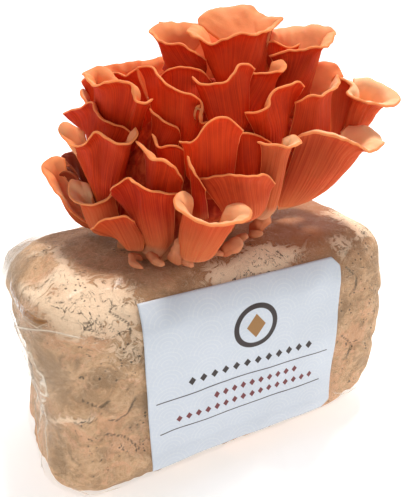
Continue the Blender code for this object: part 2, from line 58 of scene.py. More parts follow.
class Slot(Enum):
    """The record's material slots."""

    FILM = "film"
    SUBSTRATE = "substrate"
    LABEL = "label_paper"
    BASE = "base_flesh"
    FLESH = "mushroom_flesh"


class Side(Enum):
    """Which face of a mushroom's sheet a vertex is on."""

    GILLS = 0.0
    CAP = 1.0


# ---------------------------------------------------------------- shader graphs


class Field:
    """A value socket of a shader graph that takes part in arithmetic."""

    def __init__(self, graph: "Graph", socket: bpy.types.NodeSocket) -> None:
        """Keep the graph and the socket that carries the value."""
        self.graph = graph
        self.socket = socket

    def __add__(self, other: object) -> "Field":
        """Sum."""
        return self.graph.math("ADD", self, other)

    __radd__ = __add__

    def __sub__(self, other: object) -> "Field":
        """Difference."""
        return self.graph.math("SUBTRACT", self, other)

    def __rsub__(self, other: object) -> "Field":
        """Difference, with this field taken away."""
        return self.graph.math("SUBTRACT", other, self)

    def __mul__(self, other: object) -> "Field":
        """Product."""
        return self.graph.math("MULTIPLY", self, other)

    __rmul__ = __mul__

    def __truediv__(self, other: object) -> "Field":
        """Quotient."""
        return self.graph.math("DIVIDE", self, other)

    def __pow__(self, other: object) -> "Field":
        """Power."""
        return self.graph.math("POWER", self, other)

    def __abs__(self) -> "Field":
        """Size without sign."""
        return self.graph.math("ABSOLUTE", self)

    def step(self, low: float, high: float) -> "Field":
        """Smooth step from 0 at low to 1 at high, or falling where low is above high.

        Args:
            low: the value that gives 0.
            high: the value that gives 1.

        Returns:
            The stepped field.
        """
        node = self.graph.node(
            "ShaderNodeMapRange",
            {"interpolation_type": "SMOOTHSTEP"},
            {"Value": self, "From Min": low, "From Max": high},
        )
        return Field(self.graph, node.outputs["Result"])

    def wave(self) -> "Field":
        """Sine of the field, in radians."""
        return self.graph.math("SINE", self)

    def fraction(self) -> "Field":
        """What is left of the field over the whole number below it."""
        return self.graph.math("FRACT", self)


class Graph:
    """A material's node tree with a Principled shader at its end."""

    def __init__(self, name: str) -> None:
        """Make the material and its two last nodes.

        Args:
            name: the material's name.
        """
        self.material = bpy.data.materials.new(name)
        self.material.use_nodes = True
        self.tree = self.material.node_tree
        self.tree.nodes.clear()
        self.shader = self.node("ShaderNodeBsdfPrincipled")
        output = self.node("ShaderNodeOutputMaterial")
        self.tree.links.new(self.shader.outputs["BSDF"], output.inputs["Surface"])
        self.place = self.node("ShaderNodeTexCoord").outputs["Object"]

    def node(self, kind: str, settings: dict | None = None,
             inputs: dict | None = None) -> bpy.types.Node:
        """Add one node.

        Args:
            kind: the node's type.
            settings: its own properties, set first.
            inputs: values, fields or sockets for its input sockets, by name or number.

        Returns:
            The new node.
        """
        made = self.tree.nodes.new(kind)
        for key, value in (settings or {}).items():
            setattr(made, key, value)
        for key, value in (inputs or {}).items():
            self.feed(made.inputs[key], value)
        return made

    def feed(self, socket: bpy.types.NodeSocket, value: object) -> None:
        """Link a field or socket to a socket, or set its value.

        Args:
            socket: the socket that takes the value.
            value: a Field, a socket, a number or a tuple.
        """
        if isinstance(value, Field):
            value = value.socket
        if isinstance(value, bpy.types.NodeSocket):
            self.tree.links.new(value, socket)
        elif isinstance(value, tuple) and len(value) == 3 and socket.type == "RGBA":
            socket.default_value = (*value, 1.0)
        else:
            socket.default_value = value

    def math(self, operation: str, *values: object) -> Field:
        """Add a Math node on numbers and fields and return its result."""
        made = self.node("ShaderNodeMath", {"operation": operation}, dict(enumerate(values)))
        return Field(self, made.outputs[0])

    def attribute(self, name: str) -> Field:
        """The value of a mesh's point attribute."""
        made = self.node("ShaderNodeAttribute", {"attribute_name": name})
        return Field(self, made.outputs["Fac"])

    def coordinate(self, axis: str) -> Field:
        """One of the object's coordinates, in millimetres."""
        made = self.node("ShaderNodeSeparateXYZ", {}, {0: self.place})
        return Field(self, made.outputs[axis]) * (1 / MM)

    def noise(self, size: float, detail: float = 3.0, roughness: float = 0.5,
              distortion: float = 0.0, stretch: tuple = (1.0, 1.0, 1.0)) -> Field:
        """Noise over the surface.

        Args:
            size: width of its largest patches in millimetres.
            detail: how many finer layers it has.
            roughness: how strong the finer layers are.
            distortion: how far it is swirled.
            stretch: scale factors along the three axes.

        Returns:
            A field about 0.5.
        """
        place = self.node("ShaderNodeMapping", {}, {"Vector": self.place, "Scale": stretch})
        made = self.node("ShaderNodeTexNoise", {}, {
            "Vector": place.outputs[0], "Scale": 1 / (size * MM), "Detail": detail,
            "Roughness": roughness, "Distortion": distortion})
        return Field(self, made.outputs["Fac"])

    def streaks(self, width: float, length: float) -> Field:
        """Fine lines that run from a mushroom's root to its rim.

        Args:
            width: a line's width in millimetres.
            length: a line's length in millimetres.

        Returns:
            A field about 0.5.
        """
        place = self.node("ShaderNodeCombineXYZ", {}, {
            "X": self.attribute("along_mm") / width, "Y": self.attribute("rise_mm") / length,
            "Z": self.attribute("tone") * 40.0})
        made = self.node("ShaderNodeTexNoise", {}, {
            "Vector": place.outputs[0], "Scale": 1.0, "Detail": 2.0, "Roughness": 0.6})
        return Field(self, made.outputs["Fac"])

    def cells(self, size: float) -> Field:
        """Irregular cells over the surface.

        Args:
            size: width of a cell in millimetres.

        Returns:
            The distance from a cell's middle, in cell widths.
        """
        made = self.node("ShaderNodeTexVoronoi", {}, {
            "Vector": self.place, "Scale": 1 / (size * MM)})
        return Field(self, made.outputs["Distance"])

    def mix(self, factor: object, first: object, second: object) -> bpy.types.NodeSocket:
        """Blend two colours.

        Args:
            factor: 0 gives the first colour and 1 the second.
            first: a colour or a colour socket.
            second: a colour or a colour socket.

        Returns:
            The blended colour's socket.
        """
        made = self.node("ShaderNodeMix", {"data_type": "RGBA"}, {
            "Factor": factor, 6: first, 7: second})
        return made.outputs[2]

    def bump(self, height: Field, depth: float, strength: float = 1.0,
             normal: bpy.types.NodeSocket | None = None) -> bpy.types.NodeSocket:
        """Relief that bends the shading normal.

        Args:
            height: the relief, from 0 to 1.
            depth: its depth in millimetres.
            strength: how much of it shows.
            normal: a relief that it is laid over.

        Returns:
            The normal's socket.
        """
        inputs = {"Height": height, "Distance": depth * MM, "Strength": strength}
        if normal is not None:
            inputs["Normal"] = normal
        return self.node("ShaderNodeBump", {}, inputs).outputs["Normal"]

    def finish(self, **sockets: object) -> bpy.types.Material:
        """Feed the Principled shader.

        Args:
            sockets: values for its sockets, with underscores for the spaces in their names.

        Returns:
            The finished material.
        """
        for key, value in sockets.items():
            self.feed(self.shader.inputs[key.replace("_", " ")], value)
        return self.material


# ---------------------------------------------------------------- finishes


@dataclass(frozen=True)
class FleshFinish:
    """Velvety mushroom flesh: red gills, salmon caps and a pale margin, with painted shade in the
    gill furrows and on shaded forms and painted light on pale caps. Colours are linear.
    """

    deep: tuple = (0.38, 0.010, 0.001)
    ridge: tuple = (0.78, 0.066, 0.010)
    cap: tuple = (0.92, 0.320, 0.130)
    cap_bruise: tuple = (0.60, 0.190, 0.080)
    margin: tuple = (0.92, 0.290, 0.095)
    # painted light: the colour that pale caps are lifted towards
    light: tuple = (1.0, 0.60, 0.34)
    stem: tuple = (0.66, 0.180, 0.060)
    foot: tuple = (0.60, 0.300, 0.160)
    brown: tuple = (0.24, 0.055, 0.022)
    glow: float = 0.30
    glow_depth: float = 3.0

    def material(self) -> bpy.types.Material:
        """Build the material that all fruit bodies share.

        Returns:
            The finished material.
        """
        graph = Graph("oyster_flesh")
        side = graph.attribute("side")
        gill = graph.attribute("gill")
        rim = graph.attribute("rim_mm")
        pale = graph.attribute("pale")
        tone = graph.attribute("tone")
        mottle = graph.noise(16.0, 4.0, 0.6, 0.4)
        fine = graph.noise(2.2, 3.0, 0.6)
        lines = graph.streaks(1.1, 34.0)
        # the flesh's own streaks and mottle, and painted shade: the gill term makes the ridges
        # lighter and the furrows between them darker
        streak_and_furrow_shade = gill * 0.25 + (lines - 0.5) * 0.75 + (mottle - 0.5) * 0.9 + tone * 0.15
        gills = graph.mix((streak_and_furrow_shade + 0.30).step(-0.25, 1.0), self.deep, self.ridge)
        gills = graph.mix(pale.step(0.0, 0.8) * ((lines - 0.5) * 1.2 + 0.75), gills, self.stem)
        gills = graph.mix(pale.step(0.72, 1.1) * (mottle * 0.6 + 0.5), gills, self.foot)
        bruise = (mottle * 0.7 + graph.noise(34.0, 2.0, 0.5) * 0.6).step(0.66, 0.92)
        cap = graph.mix(bruise * 0.55, self.cap, self.cap_bruise)
        cap = graph.mix((fine - 0.5) * 0.35 + 0.15, cap, self.margin)
        # painted light: caps with any paleness are lifted towards a light colour, which brightens
        # caps that lie in shade
        cap = graph.mix(pale.step(0.0, 0.12) * 0.8, cap, self.light)
        colour = graph.mix(side, gills, cap)
        colour = graph.mix(rim.step(0.9, 0.3) * 0.9, colour, self.margin)
        # painted shade: brown laid on young forms and sprouts that sit in the cluster's shade
        colour = graph.mix(graph.attribute("brown") * (mottle * 0.5 + 0.65), colour, self.brown)
        roughness = fine * 0.16 + 0.55 - side * 0.04
        normal = graph.bump(graph.noise(0.9, 3.0, 0.6), 0.12, 0.6)
        normal = graph.bump(mottle, 0.8, 0.35, normal)
        return graph.finish(Base_Color=colour, Roughness=roughness, Normal=normal,
                            Subsurface_Weight=self.glow, Subsurface_Radius=FLESH_SCATTER,
                            Subsurface_Scale=self.glow_depth * MM,
                            Specular_IOR_Level=FLESH_SHINE)


@dataclass(frozen=True)
class BaseFinish:
    """The grown-together flesh in the cluster's middle: red inside, fawn at its foot."""

    red: tuple = (0.40, 0.018, 0.004)
    warm: tuple = (0.72, 0.110, 0.028)
    fawn: tuple = (0.56, 0.240, 0.105)
    foot_level: float = 122.0
    red_level: float = 138.0
    glow: float = 0.25
    glow_depth: float = 2.5

    def material(self) -> bpy.types.Material:
        """Build the material.

        Returns:
            The finished material.
        """
        graph = Graph("cluster_base_flesh")
        mottle = graph.noise(9.0, 4.0, 0.6, 0.5)
        strand = graph.noise(3.0, 3.0, 0.55, 0.0, (1.0, 1.0, 0.22))
        colour = graph.mix((mottle + strand - 0.5).step(0.3, 0.8), self.red, self.warm)
        low = graph.coordinate("Z").step(self.red_level, self.foot_level)
        colour = graph.mix(low * (mottle * 0.7 + 0.5), colour, self.fawn)
        normal = graph.bump(strand, 0.8, 0.6)
        return graph.finish(Base_Color=colour, Roughness=mottle * 0.2 + 0.5, Normal=normal,
                            Subsurface_Weight=self.glow, Subsurface_Radius=FLESH_SCATTER,
                            Subsurface_Scale=self.glow_depth * MM,
                            Specular_IOR_Level=FLESH_SHINE)


@dataclass(frozen=True)
class SubstrateFinish:
    """Sawdust bound by pale mycelium, with dark flecks, crusts and damp patches, painted shade from
    the cluster, in hollows and in cracks, and painted sunlit patches and highlights on the crusts.
    """

    mycelium: tuple = (0.71, 0.455, 0.268)
    sawdust: tuple = (0.54, 0.320, 0.170)
    damp_and_shade: tuple = (0.32, 0.205, 0.115)
    rosy: tuple = (0.79, 0.425, 0.250)
    crust_and_highlight: tuple = (0.97, 0.74, 0.53)
    fleck: tuple = (0.040, 0.024, 0.013)
    painted_shadow: tuple = (0.35, 0.100, 0.024)

    def material(self) -> bpy.types.Material:
        """Build the material.

        Returns:
            The finished material.
        """
        graph = Graph("colonised_sawdust")
        crusty = graph.attribute("crusty")
        flecked = graph.attribute("flecked")
        sunk = graph.attribute("sunk")
        broad = graph.noise(42.0, 3.0, 0.55, 0.3)
        patch = graph.noise(13.0, 5.0, 0.66, 0.9)
        flake = graph.noise(7.0, 4.0, 0.70, 1.4)
        grain = graph.noise(2.0, 4.0, 0.70)
        colour = graph.mix((patch * 0.6 + grain * 0.5 + flake * 0.2).step(0.57, 0.74),
                           self.sawdust, self.mycelium)
        colour = graph.mix((broad * 0.6 + flake * 0.5).step(0.57, 0.62) * 0.6, colour, self.rosy)
        # damp patches, the block's own, and painted shade: the deeper the surface is sunk, the more
        # of the dark damp colour it takes
        damp_and_hollow_shade = (broad * 0.7 + patch * 0.6 - sunk * 0.02).step(0.64, 0.55)
        colour = graph.mix(damp_and_hollow_shade * 0.5, colour, self.damp_and_shade)
        # painted shadow: the cluster's shadow on the block's top and along its far top edge, laid
        # on as a brown
        colour = graph.mix(graph.attribute("shade") * (patch * 0.6 + 0.6), colour, self.painted_shadow)
        # pale crusts: partly the block's own mycelium crust and partly painted sunlit patches on
        # its top and shoulder
        pale = (flake + crusty * 0.26).step(0.60, 0.66) * (crusty * 0.8 + 0.16)
        colour = graph.mix(pale, colour, self.crust_and_highlight)
        edge = graph.noise(11.0, 4.0, 0.6, 1.8) - 0.5
        shown = graph.noise(8.0, 2.0).step(0.46, 0.56) * (crusty * 0.7 + flecked * 0.2 + 0.15)
        # painted highlight: a bright rim on one side of each crust outline
        painted_edge_highlight = edge.step(0.004, 0.022) * edge.step(0.07, 0.03) * shown
        colour = graph.mix(painted_edge_highlight * 0.8, colour, self.crust_and_highlight)
        line = abs(edge).step(0.013, 0.004) * shown
        crowd = (graph.noise(26.0, 2.0, 0.5) + flecked * 0.20).step(0.48, 0.66)
        dots = graph.cells(2.9).step(0.26, 0.14) * graph.noise(6.0, 2.0).step(0.46, 0.56)
        chips = graph.noise(2.6, 2.0, 0.6, 0.8).step(0.64, 0.70)
        specks = (dots + chips) * (crowd * 0.85 + 0.22)
        # painted shade: the crack grooves are darkened with the fleck colour
        crack = graph.attribute("crack_mm").step(1.1, 0.45) * graph.attribute("crack")
        dark = (specks + line * 0.9 + crack * 0.8).step(0.0, 1.0)
        colour = graph.mix(dark * 0.85, colour, self.fleck)
        relief = patch * 0.6 + flake * 0.35 + grain * 0.35 + pale * 0.25 - line * 0.5
        normal = graph.bump(relief, 2.6, 0.9)
        return graph.finish(Base_Color=colour, Roughness=grain * 0.2 + 0.66, Normal=normal,
                            Specular_IOR_Level=0.2)


@dataclass(frozen=True)
class FilmFinish:
    """Clear bag film: glossy, finely crinkled, hazed where it stands off, with a painted highlight
    along its folds.
    """

    clear: tuple = (0.84, 0.64, 0.44)
    hazed: tuple = (0.50, 0.39, 0.28)
    fold_highlight: tuple = (0.95, 0.84, 0.70)
    amber: tuple = (0.30, 0.115, 0.020)
    haze: float = 0.05
    gloss: float = 0.15

    def material(self) -> bpy.types.Material:
        """Build the material.

        Returns:
            The finished material.
        """
        graph = Graph("bag_film")
        fold = graph.attribute("fold")
        across = graph.attribute("fold_mm")
        tent = graph.attribute("tent")
        cloud = graph.noise(30.0, 3.0, 0.5)
        crinkle = abs(graph.noise(15.0, 3.0, 0.55, 1.1) - 0.5)
        # painted highlight: a pale, more opaque line along each fold's crest
        ridge = abs(across).step(0.75, 0.0) * fold
        under = abs(across + 0.3).step(1.6, 0.9) * graph.attribute("amber") * fold
        alpha = cloud * 0.08 + (self.haze - 0.04) + tent * (cloud * 0.3 + 0.42)
        alpha = alpha + ridge * 0.40 + fold * 0.08 + under * 0.85
        colour = graph.mix(tent, self.clear, self.hazed)
        colour = graph.mix(ridge, colour, self.fold_highlight)
        colour = graph.mix(under, colour, self.amber)
        normal = graph.bump(crinkle.step(0.0, 0.12), 0.7, 0.8)
        normal = graph.bump(cloud, 2.0, 0.8, normal)
        normal = graph.bump(ridge, 0.4, 0.5, normal)
        return graph.finish(Base_Color=colour, Roughness=cloud * 0.12 + self.gloss,
                            Alpha=alpha, Normal=normal, IOR=1.49, Coat_Roughness=0.08,
                            Coat_Weight=0.25, Specular_IOR_Level=0.4)


@dataclass(frozen=True)
class LabelFinish:
    """Pale printed paper: faint fish-scale lines, two rules, a ring and rows of lozenges."""

    # painted light and shade: white paper and its lines tinted blue-grey and darkened for the cool,
    # soft light on the block's front
    paper: tuple = (0.645, 0.70, 0.785)
    line: tuple = (0.735, 0.775, 0.82)
    ink: tuple = (0.030, 0.018, 0.018)
    ochre: tuple = (0.34, 0.165, 0.045)
    maroon: tuple = (0.17, 0.030, 0.035)
    shade: tuple = (0.48, 0.54, 0.60)
    scale_size: float = 21.0
    line_pitch: float = 2.3
    ring_middle: tuple = (58.0, 70.0)
    ring_radii: tuple = (9.5, 12.6)
    rules: tuple = ((41.0, 4.0, 104.0), (21.5, 5.0, 101.0))
    ink_row: tuple = (48.5, 6.2, 2.7, 20.0, 94.4)
    maroon_rows: tuple = ((34.8, 5.2, 2.3, 34.0, 86.0), (27.6, 5.2, 2.3, 13.2, 96.4))

    def scales(self, graph: Graph, across: Field, up: Field) -> Field:
        """Fine concentric arcs in staggered scales.

        Args:
            graph: the label's graph.
            across: millimetres from the label's left edge.
            up: millimetres from its lower edge.

        Returns:
            1 on a line and 0 off it.
        """
        shown = None
        for row in range(2):
            x = (across / self.scale_size + row * 0.5).fraction() - 0.5
            y = (up / (self.scale_size * 0.5) + row * 0.5).fraction()
            reach = (x * x + y * y * 0.30) ** 0.5
            arcs = (reach * (self.scale_size * 2 * math.pi / self.line_pitch)).wave()
            lines = arcs.step(0.35, 0.95) * reach.step(0.50, 0.44)
            shown = lines if shown is None else shown + lines * 0.6
        return shown

    def rule(self, across: Field, up: Field, level: float, start: float, end: float) -> Field:
        """A thin printed rule.

        Args:
            across: millimetres from the label's left edge.
            up: millimetres from its lower edge.
            level: the rule's height.
            start: its left end.
            end: its right end.

        Returns:
            1 on the rule and 0 off it.
        """
        return (abs(up - level).step(0.42, 0.20) * across.step(start, start + 0.3)
                * across.step(end + 0.3, end))

    def lozenges(self, across: Field, up: Field, level: float, pitch: float, size: float,
                 start: float, end: float) -> Field:
        """A row of small lozenges.

        Args:
            across: millimetres from the label's left edge.
            up: millimetres from its lower edge.
            level: the row's height.
            pitch: the distance between lozenges.
            size: half a lozenge's height.
            start: the row's left end.
            end: its right end.

        Returns:
            1 on a lozenge and 0 off it.
        """
        x = abs(((across - start) / pitch).fraction() - 0.5) * pitch
        inside = (x * 1.25 + abs(up - level)).step(size, size - 0.35)
        return inside * across.step(start, start + 0.1) * across.step(end + 0.1, end)

    def material(self) -> bpy.types.Material:
        """Build the material.

        Returns:
            The finished material.
        """
        graph = Graph("label_print")
        across = graph.attribute("across_mm")
        up = graph.attribute("up_mm")
        tone = graph.noise(18.0, 3.0)
        fibre = graph.noise(1.1, 3.0, 0.6)
        paper = graph.mix(self.scales(graph, across, up) * 0.55, self.paper, self.line)
        paper = graph.mix((tone - 0.5) * 0.3 + 0.08, paper, self.shade)
        x = across - self.ring_middle[0]
        y = up - self.ring_middle[1]
        reach = (x * x + y * y) ** 0.5
        inner, outer = self.ring_radii
        ink = reach.step(outer, outer - 0.3) * reach.step(inner, inner + 0.3)
        for rule in self.rules:
            ink = ink + self.rule(across, up, *rule)
        ink = ink + self.lozenges(across, up, *self.ink_row)
        colour = graph.mix(ink.step(0.0, 1.0), paper, self.ink)
        colour = graph.mix((abs(x) + abs(y) * 0.8).step(5.6, 5.3), colour, self.ochre)
        upper, lower = (self.lozenges(across, up, *row) for row in self.maroon_rows)
        colour = graph.mix(upper + lower, colour, self.maroon)
        normal = graph.bump(fibre * 0.4 + tone * 0.6, 0.25, 0.4)
        return graph.finish(Base_Color=colour, Roughness=fibre * 0.15 + 0.42, Normal=normal,
                            Specular_IOR_Level=0.4)


@dataclass(frozen=True)
class FloorFinish:
    """A plain pale floor and wall, brighter behind the object than in front of it."""

    colour: tuple = (0.93, 0.93, 0.93)
    front: tuple = (0.50, 0.50, 0.50)
    back: tuple = (0.90, 0.90, 0.90)
    glow: float = 0.50
    heading: float = VIEW_TURN
    dark_until: float = -520.0
    bright_from: float = -160.0

    def material(self) -> bpy.types.Material:
        """Build the material.

        Returns:
            The finished material.
        """
        graph = Graph("pale_floor")
        cloud = graph.noise(400.0, 2.0)
        turn = math.radians(self.heading)
        behind = (graph.coordinate("X") * math.sin(turn)
                  + graph.coordinate("Y") * math.cos(turn)).step(self.dark_until,
                                                                 self.bright_from)
        colour = graph.mix(cloud * 0.1, self.colour, self.back)
        colour = graph.mix(behind, self.front, colour)
        glow = graph.mix(behind, (0.0, 0.0, 0.0), (1.0, 1.0, 1.0))
        return graph.finish(Base_Color=colour, Roughness=0.75, Emission_Strength=self.glow,
                            Emission_Color=glow)


# ---------------------------------------------------------------- meshes


def unit(vectors: np.ndarray) -> np.ndarray:
    """Vectors scaled to length one, along the last axis."""
    return vectors / np.maximum(np.linalg.norm(vectors, axis=-1, keepdims=True), 1e-9)


def turned(points: np.ndarray, degrees: float) -> np.ndarray:
    """Points turned about Z.

    Args:
        points: an array whose last axis is x, y, z.
        degrees: the turn, counter-clockwise from above.

    Returns:
        The turned points.
    """
    angle = math.radians(degrees)
    x = points[..., 0] * math.cos(angle) - points[..., 1] * math.sin(angle)
    y = points[..., 0] * math.sin(angle) + points[..., 1] * math.cos(angle)
    return np.stack([x, y, points[..., 2]], axis=-1)


def fade(values: np.ndarray, start: float, end: float) -> np.ndarray:
    """A straight rise of values from 0 at start to 1 at end."""
    return np.clip((values - start) / (end - start), 0, 1)


@dataclass(frozen=True)
class Ellipse:
    """An ellipse in plan, with its turn in radians."""

    middle: np.ndarray
    half_width: float
    half_depth: float
    turn: float

    def own(self, points: np.ndarray) -> tuple:
        """Plan points in the ellipse's own axes.

        Args:
            points: an array whose last axis is x, y.

        Returns:
            Their places along and across it, in its half sizes.
        """
        x, y = np.moveaxis(points - self.middle, -1, 0)
        return ((x * math.cos(self.turn) + y * math.sin(self.turn)) / self.half_width,
                (-x * math.sin(self.turn) + y * math.cos(self.turn)) / self.half_depth)

    def edge(self, points: np.ndarray) -> np.ndarray:
        """Where rays from the middle through plan points cross the ellipse."""
        return self.middle + (points - self.middle) / np.hypot(*self.own(points))[..., None]

    def ring(self, angles: np.ndarray, inset: np.ndarray, level: float) -> np.ndarray:
        """Points round the ellipse.

        Args:
            angles: their angles.
            inset: how far inside the ellipse each lies.
            level: their height.

        Returns:
            The points.
        """
        x = (self.half_width - inset) * np.cos(angles)
        y = (self.half_depth - inset) * np.sin(angles)
        return np.c_[self.middle[0] + x * math.cos(self.turn) - y * math.sin(self.turn),
                     self.middle[1] + x * math.sin(self.turn) + y * math.cos(self.turn),
                     np.full(len(angles), level)]


@dataclass(frozen=True)
class Swell:
    """Smooth wavy noise in space, from a few seeded waves."""

    seed: int
    size: float
    waves: int = 14

    def at(self, points: np.ndarray) -> np.ndarray:
        """The noise at points.

        Args:
            points: an array whose last axis is x, y, z in millimetres.

        Returns:
            Values that mostly lie between -1 and 1.
        """
        draw = np.random.default_rng(self.seed)
        directions = unit(draw.normal(size=(self.waves, 3)))
        rates = 2 * math.pi / (self.size * draw.uniform(0.7, 1.5, self.waves))
        phases = draw.uniform(0, 2 * math.pi, self.waves)
        total = np.zeros(points.shape[:-1])
        for direction, rate, phase in zip(directions, rates, phases):
            total += np.sin(points @ direction * rate + phase)
        return total * math.sqrt(2 / self.waves) * 0.6


@dataclass(frozen=True)
class Relief:
    """Layers of wavy noise, each with its seed, size and height, over a level."""

    layers: tuple
    level: float = 0.0

    def at(self, points: np.ndarray) -> np.ndarray:
        """The relief's height at points, in millimetres."""
        return self.level + sum(Swell(seed, size).at(points) * height
                                for seed, size, height in self.layers)


@dataclass
class MeshData:
    """Points, faces and point attributes of a piece that is being made."""

    points: np.ndarray
    faces: np.ndarray
    attributes: dict = field(default_factory=dict)

    def joined(self, other: "MeshData") -> "MeshData":
        """This mesh and another one in one.

        Args:
            other: a mesh with the same attributes.

        Returns:
            The joined mesh.
        """
        moved = np.where(other.faces < 0, other.faces, other.faces + len(self.points))
        attributes = {name: np.concatenate([values, other.attributes[name]])
                      for name, values in self.attributes.items()}
        return MeshData(np.concatenate([self.points, other.points]),
                        np.concatenate([self.faces, moved]), attributes)


def make_piece(name: str, data: MeshData, material: bpy.types.Material, slot: Slot | None,
               nodes: tuple = ()) -> bpy.types.Object:
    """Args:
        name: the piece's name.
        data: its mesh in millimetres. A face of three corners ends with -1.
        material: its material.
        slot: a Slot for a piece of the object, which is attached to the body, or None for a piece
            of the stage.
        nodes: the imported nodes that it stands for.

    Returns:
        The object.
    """
    triangles = data.faces[:, 3] < 0
    sizes = np.where(triangles, 3, 4)
    corners = data.faces[data.faces >= 0]
    mesh = bpy.data.meshes.new(name)
    mesh.vertices.add(len(data.points))
    mesh.vertices.foreach_set("co", (data.points * MM).astype(np.float32).ravel())
    mesh.loops.add(len(corners))
    mesh.loops.foreach_set("vertex_index", corners.astype(np.int32))
    mesh.polygons.add(len(sizes))
    mesh.polygons.foreach_set("loop_start", np.r_[0, np.cumsum(sizes)[:-1]].astype(np.int32))
    mesh.update(calc_edges=True)
    mesh.validate()
    for key, values in data.attributes.items():
        layer = mesh.attributes.new(key, "FLOAT", "POINT")
        layer.data.foreach_set("value", values.astype(np.float32).ravel())
    mesh.shade_smooth()
    mesh.materials.append(material)
    piece = bpy.data.objects.new(name, mesh)
    bpy.context.scene.collection.objects.link(piece)
    if slot is None:
        return piece
    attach(piece, BODY)
    if nodes:
        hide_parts(*nodes)
    LOG.info("%s: %d faces", name, len(sizes))
    return piece


def grid_faces(rows: int, columns: int, first: int = 0, closed: bool = False,
               flipped: bool = False) -> np.ndarray:
    """Quads of a grid of vertices stored row after row.

    Args:
        rows: number of rows.
        columns: number of columns.
        first: the first vertex's number.
        closed: whether the last column joins the first.
        flipped: whether the faces look the other way.

    Returns:
        An array of quads.
    """
    numbers = np.arange(rows * columns).reshape(rows, columns) + first
    if closed:
        numbers = np.concatenate([numbers, numbers[:, :1]], axis=1)
    quads = np.stack([numbers[:-1, :-1], numbers[:-1, 1:], numbers[1:, 1:], numbers[1:, :-1]],
                     axis=-1).reshape(-1, 4)
    return quads[:, ::-1] if flipped else quads


def strip_faces(first: np.ndarray, second: np.ndarray, closed: bool = True) -> np.ndarray:
    """Quads between two equally long lines of vertices.

    Args:
        first: vertex numbers of one line.
        second: vertex numbers of the other.
        closed: whether the ends join.

    Returns:
        An array of quads.
    """
    if closed:
        first = np.r_[first, first[:1]]
        second = np.r_[second, second[:1]]
    return np.stack([first[:-1], first[1:], second[1:], second[:-1]], axis=-1)


def fan_faces(ring: np.ndarray, middle: int, flipped: bool = False) -> np.ndarray:
    """Triangles from a closed ring to a middle vertex.

    Args:
        ring: vertex numbers of the ring.
        middle: the middle vertex's number.
        flipped: whether the faces look the other way.

    Returns:
        An array of faces that end with -1.
    """
    after = np.roll(ring, -1)
    corners = (after, ring) if flipped else (ring, after)
    return np.stack([*corners, np.full(len(ring), middle), np.full(len(ring), -1)], axis=-1)


def slab_faces(rows: int, columns: int, outer: int, inner: int) -> np.ndarray:
    """Faces of a slab between two grids of vertices.

    Args:
        rows: number of rows in each grid.
        columns: number of columns in each grid.
        outer: the number of the first vertex of the grid that keeps the grids' own direction.
        inner: the number of the first vertex of the other grid.

    Returns:
        Its faces.
    """
    numbers = np.arange(rows * columns).reshape(rows, columns)
    border = np.r_[numbers[0, :-1], numbers[:-1, -1], numbers[-1, :0:-1], numbers[:0:-1, 0]]
    return np.concatenate([grid_faces(rows, columns, outer),
                           grid_faces(rows, columns, inner, flipped=True),
                           strip_faces(border + inner, border + outer)])


def tube_faces(rows: int, sides: int) -> np.ndarray:
    """Faces of a closed tube whose two end points follow its rings.

    Args:
        rows: how many rings it has.
        sides: how many points each ring has.

    Returns:
        Its faces.
    """
    count = rows * sides
    return np.concatenate([grid_faces(rows, sides, 0, True),
                           fan_faces(np.arange(sides), count, True),
                           fan_faces(np.arange(count - sides, count), count + 1)])


def grid_normals(surface: np.ndarray, closed: bool = False) -> np.ndarray:
    """Normals of a grid of points, to the left of its rows' direction.

    Args:
        surface: rows by columns of points.
        closed: whether the last column joins the first.

    Returns:
        Unit normals of the same shape.
    """
    if closed:
        along = np.roll(surface, -1, axis=1) - np.roll(surface, 1, axis=1)
    else:
        along = np.gradient(surface, axis=1)
    return unit(np.cross(along, np.gradient(surface, axis=0)))


# ---------------------------------------------------------------- block, film and label


@dataclass(frozen=True)
class Spot:
    """A soft round patch of the block: its middle, its reach and its strength there."""

    middle: tuple
    reach: float
    strength: float = 1.0

    def at(self, points: np.ndarray) -> np.ndarray:
        """Its strength at each point."""
        away = np.linalg.norm(points - np.array(self.middle, dtype=float), axis=-1)
        return self.strength * np.exp(-(away / self.reach) ** 2)


@dataclass(frozen=True)
class Crease:
    """A fold of the film along a line of points on the block, with an amber underside or none.

    A point more than off_surface above or below the line counts as farther from it.
    """

    line: tuple
    height: float
    width: float
    amber: float = 0.0
    sharpness: float = 1.6
    off_surface: float = 6.0
    off_weight: float = 4.0

    def at(self, points: np.ndarray, normals: np.ndarray) -> tuple:
        """How the fold lies to each point.

        Args:
            points: an array whose last axis is x, y, z.
            normals: the surface's outward normals there.

        Returns:
            The fold's strength from 0 to 1, and the distance from its line in millimetres,
            positive on the line's left as seen from outside.
        """
        line = np.array(self.line, dtype=float)
        best = np.full(points.shape[:-1], np.inf)
        side = np.zeros(points.shape[:-1])
        for start, end in zip(line, line[1:]):
            step = end - start
            share = np.clip((points - start) @ step / (step @ step), 0, 1)
            offset = points - start - share[..., None] * step
            above = np.sum(offset * normals, axis=-1)
            offset = offset - above[..., None] * normals
            distance = (np.linalg.norm(offset, axis=-1)
                        + np.maximum(np.abs(above) - self.off_surface, 0) * self.off_weight)
            closer = distance < best
            best = np.where(closer, distance, best)
            left = np.sum(np.cross(normals, step) * offset, axis=-1)
            side = np.where(closer, left, side)
        strength = np.exp(-(best / self.width) ** self.sharpness)
        return strength, np.where(side < 0, -best, best)


